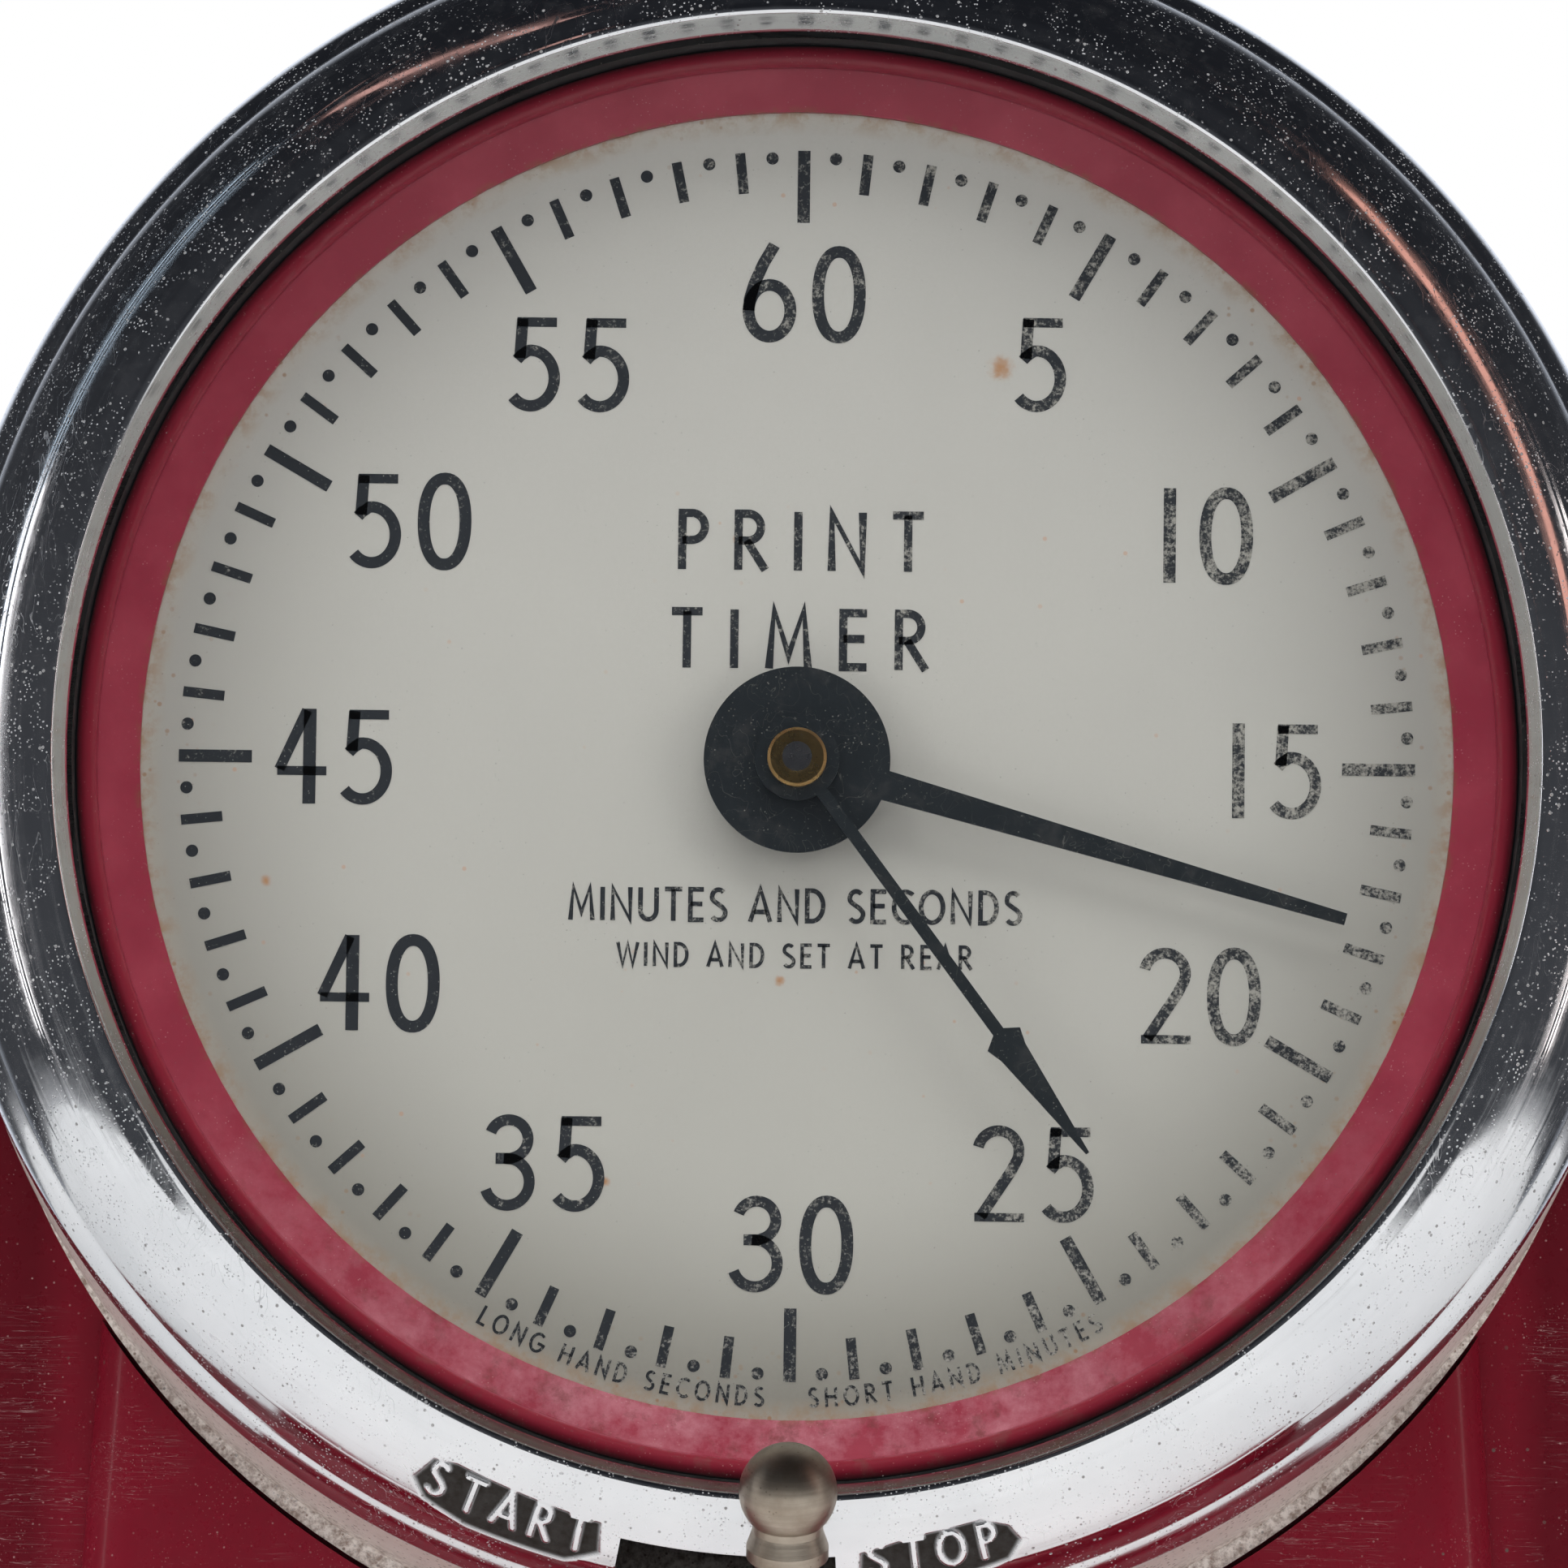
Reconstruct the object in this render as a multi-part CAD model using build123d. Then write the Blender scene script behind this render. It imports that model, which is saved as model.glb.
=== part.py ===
from build123d import *

import math
import os

# Wind-up darkroom timer, in millimetres.
# Sub-parts are drawn in a dial frame and then stood up: x right, y up and z forward,
# with the origin on the dial axis at the dial's face. Depths behind the face are negative.

# Overall places
axis_height = 88.0
foot_height = 2.5

# Dial, ring and crystal
dial_radius = 49.7
dial_thickness = 0.8
dial_hole_radius = 2.4
dial_opening_radius = 44.45
ring_band_radius = 47.25
ring_outer_radius = 48.6
ring_edge_height = 0.5
ring_band_height = 1.7
ring_bead_height = 3.3
gasket_inner_radius = 48.7
crystal_back = 5.6
crystal_thickness = 1.4
dial_foot_radius = 1.2
dial_foot_circle = 30.0
dial_foot_angles = (10, 130, 200)

# Bezel
bezel_lip_radius = 48.9
bezel_crest_radius = 49.95
bezel_shoulder_radius = 51.5
flank_bulge = 0.78
bezel_crest_height = 10.2
bezel_outer_radius = 58.8
bezel_wall = 1.0
bezel_straight_depth = 2.0
skirt_depth = 10.0
skirt_back_radius = 58.5
skirt_drop = 2.1

# Lever and its slot, angles measured anticlockwise from the right
slot_radius = 54.7
slot_width = 2.0
slot_start = 258.1
slot_end = 273.4
lever_angle = 270.0
lever_rod_radius = 0.7
lever_foot_radius = 54.8
lever_foot_height = 11.9
ball_circle_radius = 49.4
ball_height = 14.4
ball_radius = 3.25
stem_collar_radius = 2.72
stem_neck_radius = 2.35
stem_tail_radius = 1.7

# Collar and case
collar_radius = 57.2
collar_drop = 5.0
collar_depth = 3.5
collar_plate_thickness = 1.0
collar_hole_radius = 50.0
collar_screw_circle = 53.0
collar_screw_angles = (0, 180, 225, 315)
case_radius = 60.0
case_depth = 24.5
case_wall = 1.2
case_flare = 2.5
case_edge_radius = 2.8
panel_step = 4.5
panel_half_width = 47.3
panel_width_level = -38.6
panel_flare = 3.75
panel_edge_radius = 4.0
panel_wall = 1.2
plinth_half_width = 65.0
plinth_front = -2.0
plinth_rear_ledge = 0.8
plinth_height = 7.0
plinth_wall = 3.0
plinth_corner_radius = 6.0
foot_radius = 4.5
foot_inset = 7.0
cover_thickness = 1.2
cover_post_radius = 3.0
cover_post_inset = 6.75
cover_post_angle = 34.3
lower_post_inset = 10.0
lower_post_rise = 12.5

# Screws, one size throughout
screw_radius = 1.2
nut_across = 4.5
nut_thickness = 1.8

# Movement plates and pillars
seat_ring_thickness = 1.0
seat_ring_hole_radius = 38.0
seat_ring_gap = 0.05
plate_radius = 46.0
plate_thickness = 1.5
front_plate_front = -4.5
pillar_length = 20.0
pillar_radius = 2.2
pillar_stud_radius = 1.2
pillar_circle = 39.0
pillar_angles = (20, 110, 200, 320)
spacer_circle = 41.0
spacer_angles = (90, 210, 330)
spacer_radius = 2.5

# Arbors and running fits
running_gap = 0.05
side_gap = 0.3
minute_arbor_radius = 1.0
pipe_wall = 0.5
train_arbor_radius = 1.0
train_pivot_radius = 0.6
main_arbor_radius = 2.0
main_pivot_radius = 1.2

# Gear train
pressure_angle = math.radians(25)
tooth_play = 0.15
wheel_addendum = 0.7
pinion_addendum = 0.85
root_gap = 0.25
third_distance = 21.6
third_angle = 150.0
seconds_pinion_teeth = 12
third_wheel_teeth = 96
third_pinion_teeth = 10
centre_wheel_teeth = 75
centre_pinion_teeth = 12
main_wheel_teeth = 72
main_distance = 25.2
main_angle = 270.0
seconds_wheel_teeth = 64
escape_pinion_teeth = 8
escape_distance = 21.6
escape_angle = 40.0
escape_wheel_teeth = 15
escape_tip_radius = 6.0
wheel_thickness = 1.2
rim_thickness = 0.6
pinion_length = 4.0

# Escapement and balance
pallet_distance = 8.4
pallet_direction = 100.0
pallet_pin_radius = 0.25
pallet_pin_gap = 0.45
pallet_pin_spread = 30.0
balance_distance = 8.4
balance_direction = 80.0
balance_radius = 7.0
balance_rim = 1.1
impulse_radius = 1.8
pallet_thickness = 0.8
balance_thickness = 1.4
roller_thickness = 1.0
fork_gap = 0.35
brake_wire_radius = 0.5
brake_gap = 0.2

# Ratchet and springs
ratchet_radius = 7.0
ratchet_teeth = 16
ratchet_tooth_height = 1.0
click_gap = 0.15
click_pivot_radius = 0.8
click_pivot_circle = 10.6
click_pivot_angle = 215.0
click_nose_angle = 258.0
click_nose_radius = 0.6
click_spring_circle = 12.2
mainspring_radius = 18.0
mainspring_strip = 0.4
mainspring_turns = 9
hairspring_radius = 5.2
hairspring_strip = 0.15
hairspring_turns = 7
hairspring_height = 0.8
regulator_post_radius = 1.2
regulator_tail_gap = 2.3
regulator_tail_radius = 0.8

# Hands
hand_thickness = 0.4
seconds_hand_level = 2.2
seconds_hand_length = 38.5
seconds_disc_radius = 6.3
seconds_hand_angle = -15.6
minute_hand_level = 3.4
minute_hand_length = 33.0
minute_hub_radius = 2.85
minute_hand_angle = -53.1
collet_radius = 2.0
collet_front = 4.8
arbor_front = 5.1

# Rear controls
set_knob_radius = 8.0
set_knob_depth = 6.5
key_span = 24.0
key_depth = 11.0
key_blade = 2.4
key_web = 3.0
key_lobe_wall = 2.6
rear_gap = 1.3
key_boss_radius = 4.2
key_boss_depth = 4.0
key_socket_depth = 3.0
flute_count = 24
flute_radius = 0.7

# Levels worked out from the sizes above
seat_ring_back = -dial_thickness - seat_ring_thickness
front_plate_back = front_plate_front - plate_thickness
back_plate_front = front_plate_back - pillar_length
back_plate_back = back_plate_front - plate_thickness
collar_back = -skirt_depth - collar_depth
case_back = collar_back - case_depth
cover_back = case_back - cover_thickness
plinth_back = cover_back - plinth_rear_ledge
knob_front = cover_back - rear_gap
key_back = knob_front - key_depth
base_level = foot_height + plinth_height - axis_height
ball_front = ball_height + ball_radius
middle_shift = -(ball_front + key_back) / 2


def polar(radius, degrees):
    turn = math.radians(degrees)
    return (radius * math.cos(turn), radius * math.sin(turn))


def between(start, distance, degrees):
    step = polar(distance, degrees)
    return (start[0] + step[0], start[1] + step[1])


third_place = polar(third_distance, third_angle)
escape_place = polar(escape_distance, escape_angle)
main_place = polar(main_distance, main_angle)
pallet_place = between(escape_place, pallet_distance, pallet_direction)
balance_place = between(pallet_place, balance_distance, balance_direction)
balance_circle = math.hypot(*balance_place)
balance_angle = math.degrees(math.atan2(balance_place[1], balance_place[0]))
brake_circle = balance_circle + balance_radius + brake_gap + brake_wire_radius

pipe_bore_radius = minute_arbor_radius + running_gap
pipe_radius = pipe_bore_radius + pipe_wall
bush_bore_radius = pipe_radius + running_gap
bush_radius = bush_bore_radius + 1.0
bush_front = seat_ring_back - 0.1
arm_front = seat_ring_back - 0.6
arm_back = front_plate_front + 0.9

fine_module = 2 * third_distance / (seconds_pinion_teeth + third_wheel_teeth)
centre_module = 2 * third_distance / (third_pinion_teeth + centre_wheel_teeth)
escape_module = 2 * escape_distance / (escape_pinion_teeth + seconds_wheel_teeth)
main_module = 2 * main_distance / (centre_pinion_teeth + main_wheel_teeth)

# Levels of the movement, spread over the room between the plates
level_step = pillar_length / 20
seconds_wheel_back = front_plate_back - 1.8 * level_step
third_wheel_back = front_plate_back - 4.8 * level_step
seconds_pinion_back = front_plate_back - 6.2 * level_step
escape_wheel_back = front_plate_back - 7.2 * level_step
pallet_back = front_plate_back - 8.4 * level_step
mainspring_back = front_plate_back - 9.5 * level_step
mainspring_height = 6.5 * level_step
roller_back = front_plate_back - 10.0 * level_step
centre_wheel_back = front_plate_back - 12.0 * level_step
third_pinion_back = front_plate_back - 13.5 * level_step
balance_back = front_plate_back - 14.4 * level_step
main_wheel_back = front_plate_back - 16.0 * level_step
hairspring_back = front_plate_back - 17.4 * level_step
centre_pinion_back = front_plate_back - 17.5 * level_step
click_back = front_plate_back - 17.6 * level_step
click_front = main_wheel_back - 0.2


def cylinder(radius, back, front, place=(0, 0)):
    body = Cylinder(radius, front - back, align=(Align.CENTER, Align.CENTER, Align.MIN))
    return Pos(place[0], place[1], back) * body


def tube(outer, inner, back, front, place=(0, 0)):
    return cylinder(outer, back, front, place) - cylinder(inner, back, front, place)


def slab(sketch, back, front, place=(0, 0)):
    return Pos(place[0], place[1], back) * extrude(sketch, front - back)


def group(solids):
    return Compound(children=list(solids))


def sector(inner, outer, start, end):
    outer_arc = CenterArc((0, 0), outer, start, end - start)
    inner_arc = CenterArc((0, 0), inner, start, end - start)
    sides = [Line(outer_arc @ 0, inner_arc @ 0), Line(outer_arc @ 1, inner_arc @ 1)]
    return make_face([outer_arc, inner_arc, *sides])


def bar(start, end, width):
    """A flat bar with round ends between two points."""
    return SlotCenterToCenter(math.dist(start, end), width).moved(
        Location(
            ((start[0] + end[0]) / 2, (start[1] + end[1]) / 2, 0),
            (0, 0, math.degrees(math.atan2(end[1] - start[1], end[0] - start[0]))),
        )
    )


def turned(points):
    """A turned piece from a closed outline of (radius, height) points."""
    outline = Plane.XZ * make_face(Polyline(*points, close=True))
    return revolve(outline, Axis.Z)


def headed_screw(place, head_radius, head_back, head_front, shank_radius, shank_end):
    """A cheese-head screw along z; the shank runs from the head to shank_end."""
    head = cylinder(head_radius, head_back, head_front, place)
    inner = head_back if shank_end < head_back else head_front
    shank = cylinder(shank_radius, min(inner, shank_end), max(inner, shank_end), place)
    outer = head_front if shank_end < head_back else head_back
    groove_width = 0.25 * head_radius
    groove_depth = 0.4 * (head_front - head_back)
    groove = Box(3 * head_radius, groove_width, 2 * groove_depth)
    return head + shank - Pos(place[0], place[1], outer) * groove


def nut(place, across, back, front, bore_radius):
    hexagon = RegularPolygon(across / 2, 6, major_radius=False)
    return slab(hexagon, back, front, place) - cylinder(bore_radius, back, front, place)


# ---- Gears ----


def involute(angle):
    return math.tan(angle) - angle


def tooth_half_angle(radius, teeth, module):
    """Half the angle that one tooth spans at a radius, for an involute flank."""
    pitch_radius = teeth * module / 2
    base_radius = pitch_radius * math.cos(pressure_angle)
    pitch_thickness = (math.pi / 2 - tooth_play) * module
    flank = math.acos(base_radius / max(radius, base_radius))
    return pitch_thickness / (2 * pitch_radius) + involute(pressure_angle) - involute(flank)


def gear_face(teeth, module, addendum, mate_addendum, phase):
    """Toothed outline with one tooth's middle at the phase angle, in degrees."""
    pitch_radius = teeth * module / 2
    tip = pitch_radius + addendum * module
    root = pitch_radius - (mate_addendum + root_gap) * module
    low = max(root, pitch_radius * math.cos(pressure_angle))
    radii = [root, low, (low + tip) / 2, tip] if low > root else [root, (root + tip) / 2, tip]
    flank = [(radius, tooth_half_angle(radius, teeth, module)) for radius in radii]
    points = []
    for tooth in range(teeth):
        middle = math.radians(phase) + 2 * math.pi * tooth / teeth
        for radius, half in flank:
            points.append((radius * math.cos(middle - half), radius * math.sin(middle - half)))
        for radius, half in reversed(flank):
            points.append((radius * math.cos(middle + half), radius * math.sin(middle + half)))
    return make_face(Polyline(*points, close=True))


def meshed_phase(phase, teeth, mate_teeth, direction):
    """Phase of a gear that meshes with another, seen in a direction from that one."""
    pitch = 360 / teeth
    mate_pitch = 360 / mate_teeth
    share = ((direction - phase) / pitch) % 1
    return direction + 180 - mate_pitch * (0.5 - share)


def windows(hub, rim, arms):
    """Openings between a wheel's arms."""
    pitch = 360 / arms
    arm_half_angle = math.degrees(1.3 / hub) / 2
    return [
        sector(hub, rim, arm * pitch + arm_half_angle, (arm + 1) * pitch - arm_half_angle)
        for arm in range(arms)
    ]


def wheel(teeth, module, phase, bore, hub, arms, back, place):
    face = gear_face(teeth, module, wheel_addendum, pinion_addendum, phase)
    rim = teeth * module / 2 - 3.2 * module - rim_thickness
    face = face - Circle(bore)
    for window in windows(hub, rim, arms):
        face = face - window
    return slab(face, back, back + wheel_thickness, place)


def pinion(teeth, module, phase, bore, back, front, place):
    face = gear_face(teeth, module, pinion_addendum, wheel_addendum, phase)
    return slab(face - Circle(bore), back, front, place)


def train_arbor(place, body_radius=train_arbor_radius, pivot_radius=train_pivot_radius):
    """A shaft between the plates with a thinner pivot through each."""
    body = cylinder(body_radius, back_plate_front + side_gap, front_plate_back - side_gap, place)
    pivots = cylinder(pivot_radius, back_plate_back, front_plate_front, place)
    return body + pivots


# ---- Dial, ring, crystal and bezel ----


def dial_plate():
    return slab(Circle(dial_radius) - Circle(dial_hole_radius), -dial_thickness, 0)


def dial_feet():
    return group(
        cylinder(dial_foot_radius, front_plate_back, -dial_thickness, polar(dial_foot_circle, angle))
        for angle in dial_foot_angles
    )


def dial_ring():
    """Sloping flat band with a half-round bead round its outside."""
    bead_middle = (ring_band_radius + ring_outer_radius) / 2
    bead_side = ring_bead_height - (ring_outer_radius - ring_band_radius) / 2
    bead = ThreePointArc(
        (ring_band_radius, bead_side), (bead_middle, ring_bead_height), (ring_outer_radius, bead_side)
    )
    rest = Polyline(
        (ring_outer_radius, bead_side),
        (ring_outer_radius, 0),
        (dial_opening_radius, 0),
        (dial_opening_radius, ring_edge_height),
        (ring_band_radius, ring_band_height),
        (ring_band_radius, bead_side),
    )
    return revolve(Plane.XZ * make_face([bead, *rest.edges()]), Axis.Z)


def crystal_gasket():
    return tube(dial_radius, gasket_inner_radius, 0, crystal_back)


def crystal():
    disc = cylinder(dial_radius, crystal_back, crystal_back + crystal_thickness)
    return chamfer(disc.edges(), 0.2)


def bezel_outline():
    """Section of the bezel's front: lip, crest, sloping shoulder, domed flank and outer wall."""
    lip_bottom = crystal_back + crystal_thickness
    lip_in = (bezel_lip_radius, lip_bottom + 0.5)
    crest_in = (bezel_crest_radius - 0.4, bezel_crest_height - 0.4)
    crest_out = (bezel_crest_radius + 0.3, bezel_crest_height - 0.1)
    shoulder = (bezel_shoulder_radius, bezel_crest_height - 0.5)
    flank_end = (bezel_outer_radius - 1.7, bezel_crest_height - 6.3)
    chord = (flank_end[0] - shoulder[0], flank_end[1] - shoulder[1])
    bulge = flank_bulge / math.hypot(*chord)
    flank_middle = (
        (shoulder[0] + flank_end[0]) / 2 - chord[1] * bulge,
        (shoulder[1] + flank_end[1]) / 2 + chord[0] * bulge,
    )
    wall_top = (bezel_outer_radius, 0.6)
    inside = [
        (bezel_outer_radius, -bezel_straight_depth),
        (bezel_outer_radius - bezel_wall, -bezel_straight_depth),
        (bezel_outer_radius - bezel_wall, 0.6),
        (flank_end[0] - 0.9 * bezel_wall, flank_end[1] - 0.35 * bezel_wall),
        (flank_middle[0] - 0.7 * bezel_wall, flank_middle[1] - 0.72 * bezel_wall),
        (shoulder[0] - 0.35 * bezel_wall, shoulder[1] - 0.95 * bezel_wall),
        (bezel_crest_radius + 0.5, bezel_crest_height - 1.1 * bezel_wall),
        (bezel_lip_radius + 1.2 * bezel_wall, lip_bottom),
        (bezel_lip_radius, lip_bottom),
    ]
    return [
        Line(lip_in, crest_in),
        ThreePointArc(crest_in, (bezel_crest_radius, bezel_crest_height), crest_out),
        Line(crest_out, shoulder),
        ThreePointArc(shoulder, flank_middle, flank_end),
        ThreePointArc(flank_end, (bezel_outer_radius - 0.5, 2.4), wall_top),
        *Polyline(wall_top, *inside, lip_in).edges(),
    ]


def skirt(inset):
    front = Pos(0, 0, -bezel_straight_depth) * Circle(bezel_outer_radius - inset)
    back = Pos(0, -skirt_drop, -skirt_depth) * Circle(skirt_back_radius - inset)
    return loft([front, back])


def bezel():
    front = revolve(Plane.XZ * make_face(bezel_outline()), Axis.Z)
    slot = sector(slot_radius - slot_width / 2, slot_radius + slot_width / 2, slot_start, slot_end)
    return front - slab(slot, 0, bezel_crest_height + 1) + (skirt(0) - skirt(bezel_wall))


def seat_ring():
    face = Circle(bezel_outer_radius - bezel_wall - seat_ring_gap) - Circle(seat_ring_hole_radius)
    face = face - sector(slot_radius - 1.2, slot_radius + 1.2, slot_start - 1, slot_end + 1)
    return slab(face, seat_ring_back, -dial_thickness)


# ---- Collar, case, panel, plinth and feet ----


def collar():
    """Plate that closes the skirt, with a spigot inside it and a lower step on the case."""
    plate_back = -skirt_depth - collar_plate_thickness
    plate = cylinder(skirt_back_radius, plate_back, -skirt_depth, (0, -skirt_drop))
    step = cylinder(collar_radius, collar_back, -skirt_depth, (0, -collar_drop))
    spigot_place = (0, 0.2 - skirt_drop)
    spigot_radius = skirt_back_radius - bezel_wall - 0.5
    spigot = tube(spigot_radius, spigot_radius - 1.5, -skirt_depth, 1.5 - skirt_depth, spigot_place)
    hole = cylinder(collar_hole_radius, collar_back, 0)
    body = plate + step + spigot - hole
    for angle in collar_screw_angles:
        body = body - cylinder(screw_radius, collar_back, 0, polar(collar_screw_circle, angle))
    return body


def collar_bolts():
    """Screws through the collar and the case front, each with its nut inside the case."""
    inner = collar_back - case_wall
    solids = []
    for angle in collar_screw_angles:
        place = polar(collar_screw_circle, angle)
        head_front = 1.2 - skirt_depth
        end = inner - nut_thickness - 0.2
        solids.append(headed_screw(place, 2.0, -skirt_depth, head_front, screw_radius, end))
        solids.append(nut(place, nut_across, inner - nut_thickness, inner, screw_radius))
    return group(solids)


def case_face(inset):
    """Arched outline whose straight sides leave the arch tangentially and flare to the base."""
    flare = math.radians(case_flare)
    radius = case_radius - inset
    foot = base_level + inset
    tangent_x = radius * math.cos(flare)
    tangent_y = radius * math.sin(flare) - collar_drop
    foot_x = tangent_x + (tangent_y - foot) * math.tan(flare)
    arch = ThreePointArc((-tangent_x, tangent_y), (0, radius - collar_drop), (tangent_x, tangent_y))
    rest = Polyline((tangent_x, tangent_y), (foot_x, foot), (-foot_x, foot), (-tangent_x, tangent_y))
    return make_face([arch, *rest.edges()])


def case_shell():
    outer = slab(case_face(0), case_back, collar_back)
    front_edges = outer.edges().group_by(Axis.Z)[-1]
    front_edges = front_edges.filter_by(lambda edge: edge.center().Y > base_level + 1)
    outer = fillet(front_edges, case_edge_radius)
    body = outer - slab(case_face(case_wall), case_back, collar_back - case_wall)
    body = body - cylinder(collar_hole_radius, case_back, collar_back)
    for angle in collar_screw_angles:
        body = body - cylinder(screw_radius, case_back, collar_back, polar(collar_screw_circle, angle))
    for place in base_screw_places():
        body = body - upright(screw_radius, base_level, base_level + case_wall, place)
    return body


def panel_face(inset):
    flare = math.tan(math.radians(panel_flare))
    top = panel_width_level + 12
    half_top = panel_half_width - 12 * flare - inset
    half_foot = panel_half_width + (panel_width_level - base_level) * flare - inset
    foot = base_level
    sides = make_face(
        Polyline((-half_top, top), (half_top, top), (half_foot, foot), (-half_foot, foot), close=True)
    )
    return sides - Pos(0, -collar_drop) * Circle(collar_radius + 0.3 + inset)


def panel():
    """Pressed tray that stands proud of the case front between the collar and the plinth."""
    front = collar_back + panel_step
    body = slab(panel_face(0), collar_back, front)
    side_edges = (
        body.edges()
        .filter_by(GeomType.LINE)
        .group_by(Axis.Z)[-1]
        .filter_by(lambda edge: abs(edge.center().X) > panel_half_width / 2)
    )
    body = fillet(side_edges, panel_edge_radius)
    return body - slab(panel_face(panel_wall + 2.0), collar_back, front - panel_wall)


def upright(radius, bottom, top, place):
    """A cylinder along the dial frame's y, at a place given as (x, z)."""
    body = Cylinder(radius, top - bottom, align=(Align.CENTER, Align.CENTER, Align.MIN))
    return Pos(place[0], bottom, place[1]) * Rot(-90, 0, 0) * body


def base_screw_places():
    middle = (collar_back + case_back) / 2
    return [(-30, middle), (30, middle)]


def foot_places():
    x = plinth_half_width - foot_inset
    depths = (plinth_front - foot_inset, plinth_back + foot_inset)
    return [(side * x, depth) for side in (-1, 1) for depth in depths]


def plinth():
    depth = plinth_front - plinth_back
    middle = (plinth_front + plinth_back) / 2
    size = (2 * plinth_half_width, plinth_height, depth)
    block = Pos(0, base_level - plinth_height / 2, middle) * Box(*size)
    block = fillet(block.edges().filter_by(Axis.Y), plinth_corner_radius)
    block = fillet(block.faces().sort_by(Axis.Y)[-1].edges(), 2.0)
    hollow_size = [side - 2 * plinth_wall for side in (size[0], size[2])]
    hollow = Pos(0, base_level - plinth_height / 2 - plinth_wall, middle) * Box(
        hollow_size[0], plinth_height, hollow_size[1]
    )
    underside = base_level - plinth_height
    body = block - hollow
    for place in foot_places():
        body = body + upright(foot_radius, underside, base_level - 1, place)
        body = body - upright(screw_radius, underside, base_level - 2, place)
    for place in base_screw_places():
        body = body - upright(screw_radius, underside, base_level, place)
    return body


def rubber_feet():
    floor = -axis_height
    feet = []
    for place in foot_places():
        foot = upright(foot_radius, floor, floor + foot_height, place)
        foot = fillet(foot.faces().sort_by(Axis.Y)[0].edges(), 0.6)
        foot = foot - upright(2.2, floor, floor + 1.4, place)
        feet.append(foot - upright(screw_radius, floor, floor + foot_height, place))
    return group(feet)


def base_screws():
    """Four screws through the feet and two that hold the case to the plinth."""
    floor = -axis_height
    screws = []
    for place in foot_places():
        head = upright(2.0, floor + 0.4, floor + 1.4, place)
        screws.append(head + upright(screw_radius, floor + 1.4, base_level - 2.5, place))
    top = base_level - plinth_wall
    for place in base_screw_places():
        head = upright(2.2, top - 1.2, top, place)
        screws.append(head + upright(screw_radius, top, base_level + case_wall + 1.5, place))
    return group(screws)


def cover_post_places():
    """Two posts inside the arch and two above the plinth."""
    x, y = polar(case_radius - cover_post_inset, cover_post_angle)
    upper = [(side * x, y - collar_drop) for side in (1, -1)]
    lower_x = case_radius - lower_post_inset
    return upper + [(side * lower_x, base_level + lower_post_rise) for side in (1, -1)]


def cover_posts():
    front = collar_back - case_wall
    return group(
        tube(cover_post_radius, screw_radius, case_back, front, place) for place in cover_post_places()
    )


def regulator_slot():
    window = sector(hairspring_radius + 1.0, hairspring_radius + 3.6, 60, 120)
    return Pos(*balance_place) * window


def back_cover():
    face = case_face(0) - Circle(minute_arbor_radius + 0.6)
    face = face - Pos(*main_place) * Circle(main_arbor_radius + 0.8) - regulator_slot()
    for place in cover_post_places():
        face = face - Pos(*place) * Circle(screw_radius)
    return slab(face, cover_back, case_back)


def cover_screws():
    return group(
        headed_screw(place, 2.4, cover_back - 1.4, cover_back, screw_radius, case_back + 6)
        for place in cover_post_places()
    )


# ---- Movement frame ----


def pivot_places():
    return (third_place, escape_place, pallet_place, balance_place)


def front_plate():
    face = Circle(plate_radius) - Circle(bush_radius)
    for place in pivot_places():
        face = face - Pos(*place) * Circle(train_pivot_radius + running_gap)
    face = face - Pos(*main_place) * Circle(main_pivot_radius + running_gap)
    for angle in pillar_angles:
        face = face - Pos(*polar(pillar_circle, angle)) * Circle(pillar_stud_radius)
    for angle in spacer_angles:
        face = face - Pos(*polar(spacer_circle, angle)) * Circle(screw_radius)
    for angle in dial_foot_angles:
        face = face - Pos(*polar(dial_foot_circle, angle)) * Circle(dial_foot_radius)
    reach = brake_wire_radius + 0.3
    face = face - sector(brake_circle - reach, brake_circle + reach, balance_angle - 11, balance_angle + 3)
    return slab(face, front_plate_back, front_plate_front)


def back_plate():
    face = Circle(plate_radius) - Circle(minute_arbor_radius + running_gap)
    for place in pivot_places():
        face = face - Pos(*place) * Circle(train_pivot_radius + running_gap)
    face = face - Pos(*main_place) * Circle(main_arbor_radius + running_gap)
    for angle in pillar_angles:
        face = face - Pos(*polar(pillar_circle, angle)) * Circle(pillar_stud_radius)
    return slab(face, back_plate_back, back_plate_front)


def pillars():
    return group(
        cylinder(pillar_radius, back_plate_front, front_plate_back, polar(pillar_circle, angle))
        + cylinder(pillar_stud_radius, back_plate_back - 2.2, front_plate_front, polar(pillar_circle, angle))
        for angle in pillar_angles
    )


def pillar_nuts():
    return group(
        nut(
            polar(pillar_circle, angle),
            nut_across,
            back_plate_back - nut_thickness,
            back_plate_back,
            pillar_stud_radius,
        )
        for angle in pillar_angles
    )


def spacers():
    return group(
        tube(spacer_radius, screw_radius, front_plate_front, seat_ring_back, polar(spacer_circle, angle))
        for angle in spacer_angles
    )


def spacer_screws():
    return group(
        headed_screw(
            polar(spacer_circle, angle),
            2.2,
            front_plate_back - 1.2,
            front_plate_back,
            screw_radius,
            seat_ring_back,
        )
        for angle in spacer_angles
    )


def pipe_bush():
    return tube(bush_radius, bush_bore_radius, front_plate_back, bush_front)


# ---- Hands and their arbors ----


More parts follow.
